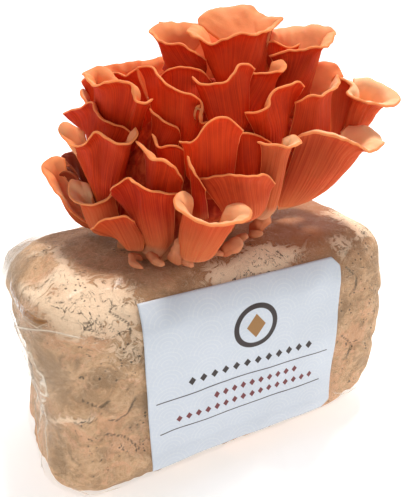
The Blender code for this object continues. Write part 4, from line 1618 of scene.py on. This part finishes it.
NEAR_SIDE = (
    Mushroom("front_1", -8, 110, 10, (-2, -51, 127), 7,
             ((-4, -47, 153), (-7, -48, 156), (-11, -53, 154), (-8, -60, 151), (-2, -64, 149),
              (4, -66, 147), (11, -65, 147), (18, -62, 147), (22, -57, 149), (19, -51, 151),
              (12, -49, 149)), flare=0.15, drop=1, stand_off=5, pale=0.15),
    Mushroom("front_2", -22, 80, 55, (-21, -42, 131), 7,
             ((-40, -37, 152), (-38, -42, 157), (-31, -44, 161), (-27, -49, 160), (-22, -51, 158),
              (-15, -50, 156), (-9, -46, 155)), drop=6),
    Mushroom("front_3", -42, 70, 45, (-31, -42, 128), 5,
             ((-51, -38, 135), (-45, -44, 141), (-39, -47, 144), (-32, -47, 144), (-29, -44, 141)),
             flare=-0.1, drop=0),
    Mushroom("front_4", -55, 100, 20, (-49, -27, 131), 9,
             ((-52, -20, 145), (-55, -16, 150), (-59, -15, 151), (-63, -16, 152), (-64, -20, 149),
              (-62, -26, 146), (-54, -32, 145), (-47, -36, 147), (-42, -36, 149),
              (-38, -33, 151)), drop=2, pale=0.2),
    Mushroom("front_5", -80, 90, 35, (-63, -7, 129), 8,
             ((-69, 0, 159), (-76, 2, 159.5), (-81, -2, 156.5), (-77.5, -9, 152), (-74, -14, 147),
              (-69, -17, 143), (-64, -18, 136)), flare=-0.2, drop=2),
    Mushroom("front_9", -60, 65, 60, (-56.5, -1, 137), 9.5,
             ((-74, 10, 158), (-70, 7, 160.5), (-66, 4, 161.5), (-61, 1, 160.5), (-57, -4, 158)),
             flare=0.0, drop=6, depth=3, brown=0.9),
    Mushroom("front_6", 14, 75, 55, (21, -42, 144), 10,
             ((-1, -42, 160), (5, -45, 162), (12, -48, 163), (18, -50, 163), (24, -48, 163),
              (29, -44, 162), (34, -38, 156)), drop=6, pale=0.3),
    Mushroom("front_7", 40, 110, 30, (34, -30, 143), 3,
             ((25, -39, 175), (30, -42, 174), (37, -43, 173), (43, -39, 174), (45, -33, 174),
              (42, -29, 175), (37, -30, 174)), drop=6, pale=0.5),
    Mushroom("front_8", 52, 70, -8, (48, -17, 142), 14,
             ((44, -28, 174), (52, -32, 176), (60, -34, 175), (69, -34, 172), (78, -28, 167),
              (87, -20, 169), (88, -12, 170), (83, -4, 173), (75, 0, 173)),
             flare=-0.36, drop=4, depth=9, reach=0.30, pale=0.38),
    Mushroom("middle_1", -52, 95, 35, (-46, -25, 147), 6,
             ((-54, -14, 175), (-59, -12, 177.5), (-64, -13, 179.5), (-66.5, -15, 176),
              (-63, -20, 173), (-57, -26, 171), (-51, -32, 173), (-45, -35, 179),
              (-40, -38, 177), (-35, -40, 175),
              (-30, -40, 175), (-26, -37, 178), (-27, -32, 180)), pale=0.1),
    Mushroom("middle_2", -22, 70, 20, (-17, -36, 150), 9,
             ((-27, -39, 176), (-23, -44, 173), (-20, -47, 170), (-15, -49, 169), (-12, -49, 167),
              (-8, -46, 163), (-7, -40, 159))),
    Mushroom("middle_3", 4, 60, 60, (0, -44, 151), 3,
             ((-5, -47, 171), (-3, -49, 167), (-1, -49, 163), (3, -46, 156))),
    Mushroom("middle_4", 2, 70, 60, (5, -36, 159), 11,
             ((-8, -39, 176), (-4, -43, 176), (-1, -45, 178), (3, -46, 183), (7, -46, 186),
              (12, -45, 186), (16, -43, 183), (19, -40, 180))),
    Mushroom("middle_5", 20, 65, 60, (24, -29, 158), 9,
             ((14, -31, 174), (16, -33, 177), (21, -35, 178), (26, -35, 177), (29, -33, 175),
              (33, -30, 172))),
    Mushroom("middle_6", -18, 70, 55, (-13, -33, 162), 6,
             ((-21, -31, 177), (-19, -34, 173), (-17, -36, 172), (-13, -37, 173), (-10, -37, 173),
              (-6, -35, 171))),
    Mushroom("middle_7", -28, 60, 60, (-17, -25, 169), 8,
             ((-22, -26, 187), (-17, -30, 184), (-13, -32, 182), (-9, -32, 180), (-8, -29, 175))),
    Mushroom("upper_1", -52, 80, 55, (-47.5, -16, 166), 6.5,
             ((-67, -1, 182), (-62.5, -6, 184), (-56, -11, 186), (-50, -16, 189), (-47, -21, 186),
              (-43, -25, 182), (-38, -28, 181), (-33, -29, 180), (-30, -28, 177))),
    Mushroom("upper_2", -44, 95, 30, (-44, -8, 167), 12,
             ((-36, -16, 198), (-41, -12, 203), (-47, -10, 203.5), (-52, -14, 202), (-49, -22, 199),
              (-44, -28, 198), (-39, -32, 199), (-32, -34, 200), (-28, -35, 198), (-28, -36, 195),
              (-26, -37, 192), (-22, -36, 191), (-19, -33, 192)), drop=6, stand_off=5),
    Mushroom("upper_3", -14, 75, 60, (-9, -23, 176), 12,
             ((-27, -14, 204), (-22, -19, 204), (-18, -24, 201), (-12, -29, 197), (-8, -31, 195),
              (-3, -32, 194), (1, -31, 191), (0, -31, 187), (1, -31, 182), (4, -28, 182))),
    Mushroom("upper_4", -6, 75, 60, (-5, -18, 190), 11,
             ((-17, -12, 200), (-13, -16, 203), (-7, -18, 204), (-2, -18, 203), (3, -16, 201),
              (6, -12, 197))),
    Mushroom("upper_5", 10, 70, 50, (14, -28, 181), 9,
             ((-3, -25, 200), (1, -29, 198), (6, -31, 198), (11, -32, 199), (15, -31, 202),
              (18, -29, 205), (22, -26, 205), (25, -22, 203))),
    Mushroom("upper_6", 26, 100, 40, (27, -19, 186), 6,
             ((23, -17, 201), (28, -21, 201), (33, -21, 201), (38, -18, 202), (40, -13, 204),
              (38, -10, 206), (34, -9, 205))),
    Mushroom("upper_7", 36, 70, 50, (35, -21, 174), 9,
             ((20, -31, 186), (25, -34, 187), (30, -34, 189), (31, -32, 192), (34, -30, 196),
              (39, -27, 197), (44, -23, 198), (48, -18, 195))),
    Mushroom("upper_8", 38, 78, 35, (55.5, -10.5, 168), 14,
             ((43, -22, 189), (48, -26, 191), (55, -26, 192), (60, -21, 194), (64.5, -15, 196),
              (65.5, -8, 198)), flare=-0.2, pale=0.22),
    Mushroom("upper_9", 62, 84, 2, (76.5, 11, 163.5), 11.5,
             ((66, -2, 197.5), (70, 0, 195.5), (74, 0, 193), (71, -4, 190.5), (73, -8, 188.5),
              (79, -10, 186), (88, -10, 184.5), (96, -6, 185), (99, 0, 187), (95, 7, 191),
              (87, 11, 194.5), (78, 11, 195)), flare=-0.18, stand_off=5, reach=0.36,
             pale=0.4),
    Mushroom("upper_10", 150, 75, 50, (45.5, 8, 179.5), 6.5,
             ((71, 3, 197), (69, 7, 201), (64, 9, 203.5), (57, 10, 203.5), (51, 11, 203),
              (46, 11, 201)), flare=0.0, drop=6, depth=4),
    Mushroom("upper_11", -30, 60, 65, (-27.5, -5, 180), 7,
             ((-44, -3, 200), (-38, -5, 201), (-34, -8, 199.5), (-31, -8, 201), (-28, -9, 203)),
             flare=0.0, drop=5, depth=3),
    Mushroom("top_1", -26, 110, 38, (-8, -6, 202), 10.5,
             ((3, 10, 218), (-3, 12, 221), (-10, 9, 221), (-16, 4, 222), (-22, -2, 219),
              (-19, -9, 215), (-13, -12, 213), (-7, -14, 212), (0, -12, 209), (4, -8, 206)),
             flare=-0.5),
    Mushroom("top_2", 8, 110, 15, (22.5, -9.5, 197), 12.5,
             ((0, 8, 221), (-5, -4, 218), (0, -10, 214), (6, -14, 213), (13, -16, 215),
              (20, -15, 217), (27, -13, 217), (33, -8, 218), (36, 0, 220), (40.5, 6, 223),
              (33, 12, 223.5), (27, 16, 227.8), (16, 18, 228.6), (6, 16, 226), (0, 13, 223))),
    Mushroom("top_3", 44, 110, 15, (48, -6, 190), 8,
             ((33, -4, 207), (40, -8, 209), (47, -11, 210), (54, -12, 211), (60, -8, 212),
              (64, 0, 215), (66, 8, 217), (61, 11, 219.5), (52, 13, 219), (44, 13, 218.5),
              (37, 13, 218), (31, 9, 214)), pale=0.12),
    Mushroom("top_4", 12, 60, 60, (37, 1.4, 196.3), 6.5,
             ((30.5, 0.5, 212.6), (35, -1.4, 213.4), (38.5, -2.2, 212), (42.1, -3, 211),
              (45.1, -2, 211), (48, -1, 212)), drop=8),
    Mushroom("top_6", -172, 75, 50, (4.5, 8, 198.5), 6,
             ((16, 25, 219), (9, 23, 220), (2, 20.5, 221), (-5, 18.5, 221), (-12, 16.5, 221),
              (-19, 13, 222)), flare=0.0, drop=8, depth=3),
    Mushroom("top_5", -160, 70, 45, (-32, 18, 193), 7,
             ((-8, 21, 207), (-16, 21, 206), (-23, 21, 205), (-30, 20, 204.4), (-37, 17, 203.6),
              (-43, 12, 203), (-47, 8, 202.6))),
)

# fruits that are too small to have nodes of their own
YOUNG = (
    Mushroom("young_1", -50, 75, 60, (-52.5, -1, 183), 4.5,
             ((-57, 1, 196.5), (-54, -2, 198.5), (-51, -4, 199), (-49.5, -6, 195)),
             flare=0.0, drop=8, depth=2),
    Mushroom("young_4", -80, 70, 40, (-51, 0, 179), 4,
             ((-55, 5, 190), (-56.5, 2, 192.5), (-57, -2, 192.5), (-55.5, -6, 190),
              (-53, -8, 186)), flare=0.0, drop=8, depth=2, pale=0.8),
    Mushroom("young_2", -58, 60, 60, (-61, -6, 140), 5,
             ((-74, 0, 150), (-70.5, -3, 153), (-66, -6, 153.5), (-62, -9, 151),
              (-58, -11, 149)),
             flare=0.0, drop=6, depth=2, brown=1.0),
    Mushroom("young_3", -58, 70, 50, (-65, 1, 141), 5,
             ((-78.5, 7, 156), (-76, 4, 159), (-72, 1.5, 158.5), (-69, -1, 156),
              (-66, -3, 157)), flare=0.0, drop=6, depth=2, brown=0.9),
    Mushroom("young_5", -60, 60, 60, (-55, 1, 160), 5,
             ((-61, 5, 175), (-59, 2, 177), (-56, 0, 177), (-53, -3, 175)),
             flare=0.0, drop=8, depth=2),
)

# name, form, turn, step outward, scale across, lift, change of the neck's half width
FAR_SIDE = (
    ("back_1", "front_1", 182, 0, 1.0, 2, 0),
    ("back_2", "front_2", 176, 4, 1.0, 4, 0),
    ("back_3", "front_6", 196, 2, 1.0, 0, 0),
    ("back_4", "middle_2", 176, -1, 1.1, 0, 0),
    ("back_5", "middle_4", 180, 2, 1.0, 2, 0),
    ("back_6", "middle_5", 176, 0, 1.15, 4, 0),
    ("back_7", "upper_3", 183, 7, 0.95, 2, 0),
    ("back_8", "upper_5", 174.5, 2.5, 0.98, 1, -2),
    ("back_9", "upper_7", 203.6, 11, 0.91, 1.2, -3.8),
    ("back_10", "middle_1", 186, -2, 0.9, 2, -3),
    ("back_11", "front_7", 200, 1, 1.1, -2, 0),
    ("back_13", "front_4", 191, 6, 1.0, 4, 0),
)


@dataclass(frozen=True)
class Sprout:
    """A young fruit that hasn't opened: a bent lobe along points in the cluster's frame."""

    line: tuple
    radii: tuple
    # painted shade: how much brown the flesh paints on the lobe, which sits in the cluster's shade
    brown: float = 0.35
    rows: int = 24
    sides: int = 26
    turn: float = -VIEW_TURN
    flatness: float = 0.7
    lumps: tuple = ((4.0, 0.18), (9.0, 0.22))
    height: float = 14.0
    paleness: float = 0.7
    grain: float = 3.0
    margin_distance: float = 9.0

    def mesh(self, seed: int) -> MeshData:
        """The lobe's mesh.

        Args:
            seed: the number that its lumps are drawn from.

        Returns:
            A closed mesh with the fruit bodies' attributes.
        """
        path = smooth_curve(self.line, self.rows)
        share = np.linspace(0, 1, self.rows)
        radius = np.interp(share, np.linspace(0, 1, len(self.radii)), self.radii)
        radius = radius * np.sqrt(np.clip(1 - np.abs(2 * share - 1) ** 5, 0.004, 1))
        ahead = unit(np.gradient(path, axis=0))
        right = unit(np.cross(ahead, (0.25, 0.90, 0.30)))
        over = np.cross(right, ahead)
        angles = 2 * math.pi * np.arange(self.sides) / self.sides
        ring = (np.cos(angles)[None, :, None] * right[:, None]
                + np.sin(angles)[None, :, None] * over[:, None] * self.flatness)
        surface = path[:, None] + ring * radius[:, None, None]
        lumps = Relief(tuple((seed + number, *lump)
                             for number, lump in enumerate(self.lumps))).at(surface)
        surface = surface + ring * (lumps * radius[:, None])[..., None]
        points = turned(np.concatenate([surface.reshape(-1, 3), path[:1] - ahead[:1] * 0.1,
                                        path[-1:] + ahead[-1:] * 0.1]), self.turn)
        rise = np.r_[np.repeat(share * self.height, self.sides), 0.0, self.height]
        total = len(points)
        draw = np.random.default_rng(seed)
        return MeshData(points, tube_faces(self.rows, self.sides), {
            "side": np.clip(rise / (2 * self.height), 0.0, 0.5),
            "gill": np.zeros(total),
            "rim_mm": np.full(total, self.margin_distance),
            "pale": np.full(total, self.paleness),
            "tone": np.full(total, draw.uniform(-1, 1)),
            "brown": np.full(total, self.brown),
            "along_mm": np.r_[np.tile(angles * self.grain, self.rows), 0.0, 0.0],
            "rise_mm": rise})


SPROUTS = (
    Sprout(((-27, -42, 121), (-31, -47.5, 125.5), (-30, -51.5, 124), (-25.5, -54, 122.3)),
           (2.0, 2.2, 2.0, 1.8)),
    Sprout(((-20, -42, 121), (-22, -46, 124.5), (-20, -49.5, 124), (-16, -51, 122.5)),
           (3.0, 3.2, 2.6, 1.8)),
    Sprout(((-12, -42, 120.5), (-11, -47, 124), (-10.5, -49, 129), (-8.5, -48.5, 135)),
           (3.0, 3.4, 3.0, 2.2)),
    Sprout(((-7, -44, 120.5), (-6.5, -48.5, 122.8), (-3, -52, 122.6)), (2.0, 2.4, 1.8)),
    Sprout(((10, -36, 120.5), (14, -38.5, 124.5), (20, -38.5, 128.5)), (2.4, 3.4, 3.2)),
    Sprout(((8, -36, 120.5), (7, -39, 123), (11, -41, 122.7)), (1.8, 2.0, 1.6)),
    Sprout(((18, -24, 120.5), (20, -26, 124.5), (23, -28, 127)), (1.8, 2.2, 2.0)),
    Sprout(((25, -16, 121), (28, -20, 124), (32, -20, 124)), (1.8, 2.4, 1.8), 0.3),
    Sprout(((26, -14, 121), (30, -15, 127), (32.5, -17, 134), (34, -19, 140)),
           (3.6, 3.4, 3.8, 3.6), 0.1),
)


@dataclass(frozen=True)
class SheetPlaces:
    """Where a sheet's points lie: millimetres from its ends and the share from root to rim."""

    from_root: np.ndarray
    to_rim: np.ndarray
    to_side: np.ndarray
    rise: np.ndarray

    @classmethod
    def of(cls, surface: np.ndarray) -> "SheetPlaces":
        """Measure a sheet.

        Args:
            surface: rows from root to rim by columns from side to side.

        Returns:
            The places of its points.
        """
        rows, columns, _ = surface.shape
        steps = np.linalg.norm(np.diff(surface, axis=0), axis=2)
        from_root = np.concatenate([np.zeros((1, columns)), np.cumsum(steps, axis=0)])
        widths = np.linalg.norm(np.diff(surface, axis=1), axis=2)
        from_left = np.concatenate([np.zeros((rows, 1)), np.cumsum(widths, axis=1)], axis=1)
        return cls(from_root, from_root[-1:] - from_root,
                   np.minimum(from_left, from_left[:, -1:] - from_left),
                   from_root / from_root[-1:])


@dataclass
class Cluster:
    """The fruit bodies with their gills, lips and margins.

    Each pair is the two ends of a fade. roll_near and roll_far are distances from the rim between
    which the lip's roll grows and dies away, pale_levels are heights, and pale_stem and
    short_gills are shares of the way from root to rim.
    """

    base: ClusterBase = field(default_factory=ClusterBase)
    turn: float = -VIEW_TURN
    stem_thickness: float = 3.6
    rim_thickness: float = 1.15
    taper: float = 1.5
    root_half_width: float = 3.5
    gill_pitch: float = 1.2
    gill_height: float = 0.34
    sterile_margin: float = 0.9
    full_gill: float = 2.9
    gill_start: float = 0.3
    short_gills: tuple = (0.4, 0.7)
    furrow: float = 0.4
    gill_heights: tuple = (0.35, 1.2)
    rim_bead: float = 0.55
    stem_rows: int = 5
    body_rows: int = 20
    rim_samples: int = 80
    gill_counts: tuple = (20, 130)
    bead_steps: tuple = (0.0, 0.08, 0.24, 0.5, 0.9)
    bead_stretch: float = 0.78
    rim_pull: float = 0.6
    lower_reach: float = 0.42
    bend_reach: float = 0.4
    ruffles: tuple = ((13.0, 0.6), (5.0, 0.3))
    side_curl: float = 2.4
    curl_width: float = 5.0
    lip_roll: float = 1.3
    roll_near: tuple = (0.0, 4.0)
    roll_far: tuple = (6.0, 15.0)
    roll_length: float = 20.0
    roll_side: float = 8.0
    pale_levels: tuple = (122.0, 152.0)
    pale_stem: tuple = (0.02, 0.22)
    low_paleness: float = 0.8
    stem_paleness: float = 0.4
    cap_paleness: float = 0.3
    low_neck: float = 133.0
    seeds: tuple = (100, 900, 950)
    seed_step: int = 7

    def sheet(self, mushroom: Mushroom, columns: int) -> np.ndarray:
        """The mushroom's middle surface.

        Args:
            mushroom: the fruit body.
            columns: how many points its rim has.

        Returns:
            Rows from root to rim by columns from its left to its right.
        """
        front = heading(mushroom.facing)
        side = np.cross(UP, front)
        angles = math.radians(mushroom.spread) * np.linspace(-1, 1, columns)
        radial = np.outer(np.cos(angles), front) + np.outer(np.sin(angles), side)

        def arc(centre: np.ndarray, half_width: float, half_depth: float) -> np.ndarray:
            """A level arc round a centre."""
            return (centre + half_depth * np.outer(np.cos(angles) - 0.5, front)
                    + half_width * np.outer(np.sin(angles), side))

        neck = np.array(mushroom.neck, dtype=float)
        neck_depth = min(mushroom.width, mushroom.depth)
        start = arc(neck, mushroom.width, neck_depth)
        rim = smooth_curve(mushroom.rim, columns)
        outward = (self.rim_pull * unit(np.cross(np.gradient(rim, axis=0), UP))
                   + (1 - self.rim_pull) * radial)
        for _ in range(max(1, columns // 10)):
            outward[1:-1] = (outward[:-2] + 2 * outward[1:-1] + outward[2:]) / 4
        outward = unit(outward)
        climb = math.radians(mushroom.lip)
        lip = outward * math.cos(climb) + UP * math.sin(climb)
        span = np.linalg.norm(rim - start, axis=1)[:, None]
        rise = unit((rim - start) / span + UP * mushroom.flare)
        lower_handle = start + rise * self.lower_reach * span
        upper_handle = rim - lip * mushroom.reach * span
        bead = np.array(self.bead_steps) / (self.bead_stretch * span.mean())
        t = np.r_[np.linspace(0, 1, self.body_rows + 1)[:-2], 1 - bead[::-1]][:, None, None]
        body = ((1 - t) ** 3 * start + 3 * (1 - t) ** 2 * t * lower_handle
                + 3 * (1 - t) * t ** 2 * upper_handle + t ** 3 * rim)
        root = self.base.on_surface(neck[0], neck[1], neck[2] - mushroom.drop,
                                    mushroom.stand_off)
        average = unit(rise.mean(axis=0))
        bend = neck - average * self.bend_reach * np.linalg.norm(neck - root)
        root_depth = min(self.root_half_width, neck_depth)
        stem = []
        for share in np.linspace(0, 1, self.stem_rows + 1)[:-1]:
            centre = (1 - share) ** 2 * root + 2 * (1 - share) * share * bend + share ** 2 * neck
            stem.append(arc(centre,
                            self.root_half_width + (mushroom.width - self.root_half_width) * share,
                            root_depth + (neck_depth - root_depth) * share))
        return np.concatenate([stem, body])

    def bent(self, mushroom: Mushroom, seed: int, surface: np.ndarray, normals: np.ndarray,
             places: SheetPlaces) -> np.ndarray:
        """Give a sheet its waves, its curled sides and its rolled lip.

        Args:
            mushroom: the fruit body.
            seed: the number that its waves are drawn from.
            surface: its sheet.
            normals: the sheet's normals.
            places: where the sheet's points lie.

        Returns:
            The bent sheet.
        """
        rise, to_side = places.rise, places.to_side
        wave = Relief(tuple((seed + number, *ruffle)
                            for number, ruffle in enumerate(self.ruffles))).at(surface)
        curl = (np.exp(-(to_side / self.curl_width) ** 2) * np.clip(rise * 4, 0, 1)
                * np.clip(2 - 2 * rise, 0, 1))
        roll = (fade(places.to_rim, *self.roll_near) ** 0.8
                * (1 - fade(places.to_rim, *self.roll_far)))
        roll *= (self.lip_roll * fade(places.from_root[-1:], 0.0, self.roll_length)
                 * fade(to_side, 0.0, self.roll_side))
        return (surface + normals * (wave * rise ** 3 - roll)[..., None]
                - heading(mushroom.facing) * (curl * self.side_curl)[..., None])

    def gills(self, edge: np.ndarray, rise: np.ndarray, draw: np.random.Generator) -> tuple:
        """The relief of the gills, one on every second column, each other one short.

        Args:
            edge: distances from the rim and the sides in millimetres.
            rise: shares of the way from root to rim.
            draw: where the gills' uneven heights are drawn from.

        Returns:
            Which part of each point is gill, and how deep the furrows are there, from 0 to 1.
        """
        column = np.arange(edge.shape[1])
        short = (column // 2 % 2)[None, :] * (1 - fade(rise, *self.short_gills))
        ridge = (1 - column % 2)[None, :] * (1 - short)
        reach = (fade(edge, self.sterile_margin, self.full_gill)
                 * np.clip(rise / self.gill_start, 0.15, 1))
        return ridge * reach * draw.uniform(*self.gill_heights, len(column))[None, :], reach

    def solid(self, mushroom: Mushroom, seed: int) -> MeshData:
        """The closed body round a mushroom's sheet, with gills on its outer side.

        Args:
            mushroom: the fruit body.
            seed: the number that its waves and tone are drawn from.

        Returns:
            Its mesh.
        """
        rim = smooth_curve(mushroom.rim, self.rim_samples)
        length = np.linalg.norm(np.diff(rim, axis=0), axis=1).sum()
        columns = 2 * int(np.clip(round(length / self.gill_pitch), *self.gill_counts)) + 1
        surface = self.sheet(mushroom, columns)
        rows = len(surface)
        places = SheetPlaces.of(surface)
        rise = places.rise
        normals = grid_normals(surface)
        surface = self.bent(mushroom, seed, surface, normals, places)
        edge = np.minimum(places.to_rim, places.to_side + 0.05)
        taper = (1 - rise) ** self.taper
        half = (self.rim_thickness + (self.stem_thickness - self.rim_thickness) * taper) / 2
        half = half * np.sqrt(np.clip(1 - (1 - fade(edge, 0.0, self.rim_bead)) ** 2, 0.002, 1))
        draw = np.random.default_rng(seed)
        gill, reach = self.gills(edge, rise, draw)
        relief = (gill - self.furrow * reach) * self.gill_height
        outer = surface + normals * (half + relief)[..., None]
        inner = surface - normals * half[..., None]
        count = rows * columns
        points = turned(np.concatenate([outer.reshape(-1, 3), inner.reshape(-1, 3)]), self.turn)
        low = (1 - fade(surface[..., 2], *self.pale_levels)) * self.low_paleness
        stem = (1 - fade(rise, *self.pale_stem)) * self.stem_paleness
        pale = np.clip(low + stem + mushroom.pale, 0, 1)
        pairs = {
            "side": (np.full(count, Side.GILLS.value), np.full(count, Side.CAP.value)),
            "gill": (gill, np.zeros(count)),
            "rim_mm": (edge, edge),
            # the cap side takes a share of the paleness, which the flesh turns into painted light
            # on the caps
            "pale": (pale, pale * self.cap_paleness),
            "tone": (np.full(count, draw.uniform(-1, 1)),) * 2,
            "brown": (np.full(count, mushroom.brown),) * 2,
            "along_mm": (np.tile(np.linspace(0, length, columns), rows),) * 2,
            "rise_mm": (places.from_root,) * 2,
        }
        attributes = {name: np.r_[gill_side.ravel(), cap_side.ravel()]
                      for name, (gill_side, cap_side) in pairs.items()}
        return MeshData(points, slab_faces(rows, columns, 0, count), attributes)

    def build(self, block: GrowBlock) -> None:
        """Make the base and every fruit body.

        Args:
            block: the block that the cluster grows from.
        """
        flesh = FleshFinish().material()
        forms = {mushroom.name: mushroom for mushroom in NEAR_SIDE}
        bodies = list(NEAR_SIDE)
        bodies += [forms[form].placed(name, *placing) for name, form, *placing in FAR_SIDE]
        roots = tuple(body.neck[:2] for body in bodies if body.neck[2] < self.low_neck)
        self.base.build(block, BaseFinish().material(), roots)
        old, young, unopened = self.seeds
        for number, mushroom in enumerate(bodies):
            make_piece("fruit_" + mushroom.name,
                       self.solid(mushroom, old + self.seed_step * number), flesh,
                       Slot.FLESH, ("mushroom_" + mushroom.name,))
        for number, mushroom in enumerate(YOUNG):
            make_piece("fruit_" + mushroom.name,
                       self.solid(mushroom, young + self.seed_step * number), flesh, Slot.FLESH)
        sprouts = [sprout.mesh(unopened + number) for number, sprout in enumerate(SPROUTS)]
        whole = sprouts[0]
        for sprout in sprouts[1:]:
            whole = whole.joined(sprout)
        make_piece("fruit_sprouts", whole, flesh, Slot.FLESH)


# ---------------------------------------------------------------- studio


@dataclass
class Studio:
    """Floor, soft lights and the camera at the photograph's viewing angle."""

    camera_place: tuple = (-103.68, -222.24, 219.36)
    camera_turn: float = VIEW_TURN
    camera_tilt: float = 24.6
    camera_roll: float = -0.7
    lens: float = 34.91
    floor_radius: float = 1200.0
    floor_rings: int = 10
    floor_sides: int = 96
    bend_radius: float = 700.0
    bend_rings: int = 11
    wall_height: float = 1600.0
    aim: tuple = (0.0, 0.0, 120.0)
    sky: float = 0.20
    lights: tuple = (
        ("overhead", (230.0, 130.0, 1350.0), 180.0, 14.5, (1.0, 0.96, 0.90)),
        ("front_fill", (-700.0, -900.0, 420.0), 900.0, 2.2, (0.97, 0.97, 0.98)),
        ("right_fill", (900.0, -520.0, 460.0), 700.0, 1.7, (1.0, 0.97, 0.93)),
        ("back_fill", (500.0, 900.0, 900.0), 900.0, 3.6, (1.0, 1.0, 1.0)))

    def build_floor(self) -> None:
        """A round floor whose edge rises into a wall, so that no horizon shows."""
        profile = [(self.floor_radius * share ** 0.8 + 1.0, 0.0)
                   for share in np.linspace(0, 1, self.floor_rings)]
        for degrees in np.linspace(0, 90, self.bend_rings + 1)[1:]:
            angle = math.radians(degrees)
            profile.append((self.floor_radius + self.bend_radius * math.sin(angle),
                            self.bend_radius * (1 - math.cos(angle))))
        profile.append((profile[-1][0], self.wall_height))
        angles = 2 * math.pi * np.arange(self.floor_sides) / self.floor_sides
        rows = [np.c_[radius * np.cos(angles), radius * np.sin(angles),
                      np.full(self.floor_sides, level)] for radius, level in profile]
        points = np.concatenate([*rows, [(0, 0, 0)]])
        faces = np.concatenate([grid_faces(len(rows), self.floor_sides, 0, True, True),
                                fan_faces(np.arange(self.floor_sides), len(points) - 1)])
        make_piece("pale_floor", MeshData(points, faces), FloorFinish().material(), None)

    def add_light(self, name: str, place: tuple, size: float, power: float,
                  colour: tuple) -> None:
        """A soft square light that looks at the aim.

        Args:
            name: its name.
            place: where it is, in millimetres.
            size: its side in millimetres.
            power: its power in watts.
            colour: its colour.
        """
        lamp = bpy.data.lights.new(name, "AREA")
        lamp.size = size * MM
        lamp.energy = power
        lamp.color = colour
        item = bpy.data.objects.new(name, lamp)
        bpy.context.scene.collection.objects.link(item)
        spot = np.array(place, dtype=float)
        back = unit(spot - np.array(self.aim))
        right = unit(np.cross(UP, back) + (1e-6, 0, 0))
        item.matrix_world = self.matrix(right, np.cross(back, right), back, spot)

    @staticmethod
    def matrix(right: np.ndarray, up: np.ndarray, back: np.ndarray, place: np.ndarray) -> Matrix:
        """Put three axes and a place together.

        Args:
            right: the thing's own x axis.
            up: its y axis.
            back: its z axis.
            place: its place in millimetres.

        Returns:
            The matrix that places it.
        """
        spot = place * MM
        return Matrix([(right[row], up[row], back[row], spot[row]) for row in range(3)]
                      + [(0, 0, 0, 1)])

    def build_camera(self) -> None:
        """The camera, where the photograph was taken from."""
        turn = math.radians(self.camera_turn)
        tilt = math.radians(self.camera_tilt)
        roll = math.radians(self.camera_roll)
        level_right = np.array((math.cos(turn), -math.sin(turn), 0.0))
        ahead = np.array((math.sin(turn), math.cos(turn), 0.0))
        forward = math.cos(tilt) * ahead - math.sin(tilt) * UP
        level_up = math.sin(tilt) * ahead + math.cos(tilt) * UP
        right = math.cos(roll) * level_right + math.sin(roll) * level_up
        up = -math.sin(roll) * level_right + math.cos(roll) * level_up
        lens = bpy.data.cameras.new("camera")
        lens.lens = self.lens
        lens.sensor_width = 36.0
        lens.sensor_fit = "AUTO"
        lens.clip_start = 0.01
        camera = bpy.data.objects.new("camera", lens)
        camera.matrix_world = self.matrix(right, up, -forward, np.array(self.camera_place))
        bpy.context.scene.collection.objects.link(camera)
        bpy.context.scene.camera = camera

    def build(self) -> None:
        """Make the floor, the lights, the sky and the camera."""
        self.build_floor()
        for light in self.lights:
            self.add_light(*light)
        bpy.context.scene.view_settings.view_transform = "Standard"
        world = bpy.data.worlds.new("soft_sky")
        world.use_nodes = True
        background = world.node_tree.nodes["Background"]
        background.inputs["Color"].default_value = (1.0, 1.0, 1.0, 1.0)
        background.inputs["Strength"].default_value = self.sky
        bpy.context.scene.world = world
        self.build_camera()


def main() -> None:
    """Build the object, then the studio round it."""
    logging.basicConfig(level=logging.INFO, format="%(message)s")
    block = GrowBlock()
    block.build()
    Cluster().build(block)
    Studio().build()


if __name__ == "__main__":
    main()
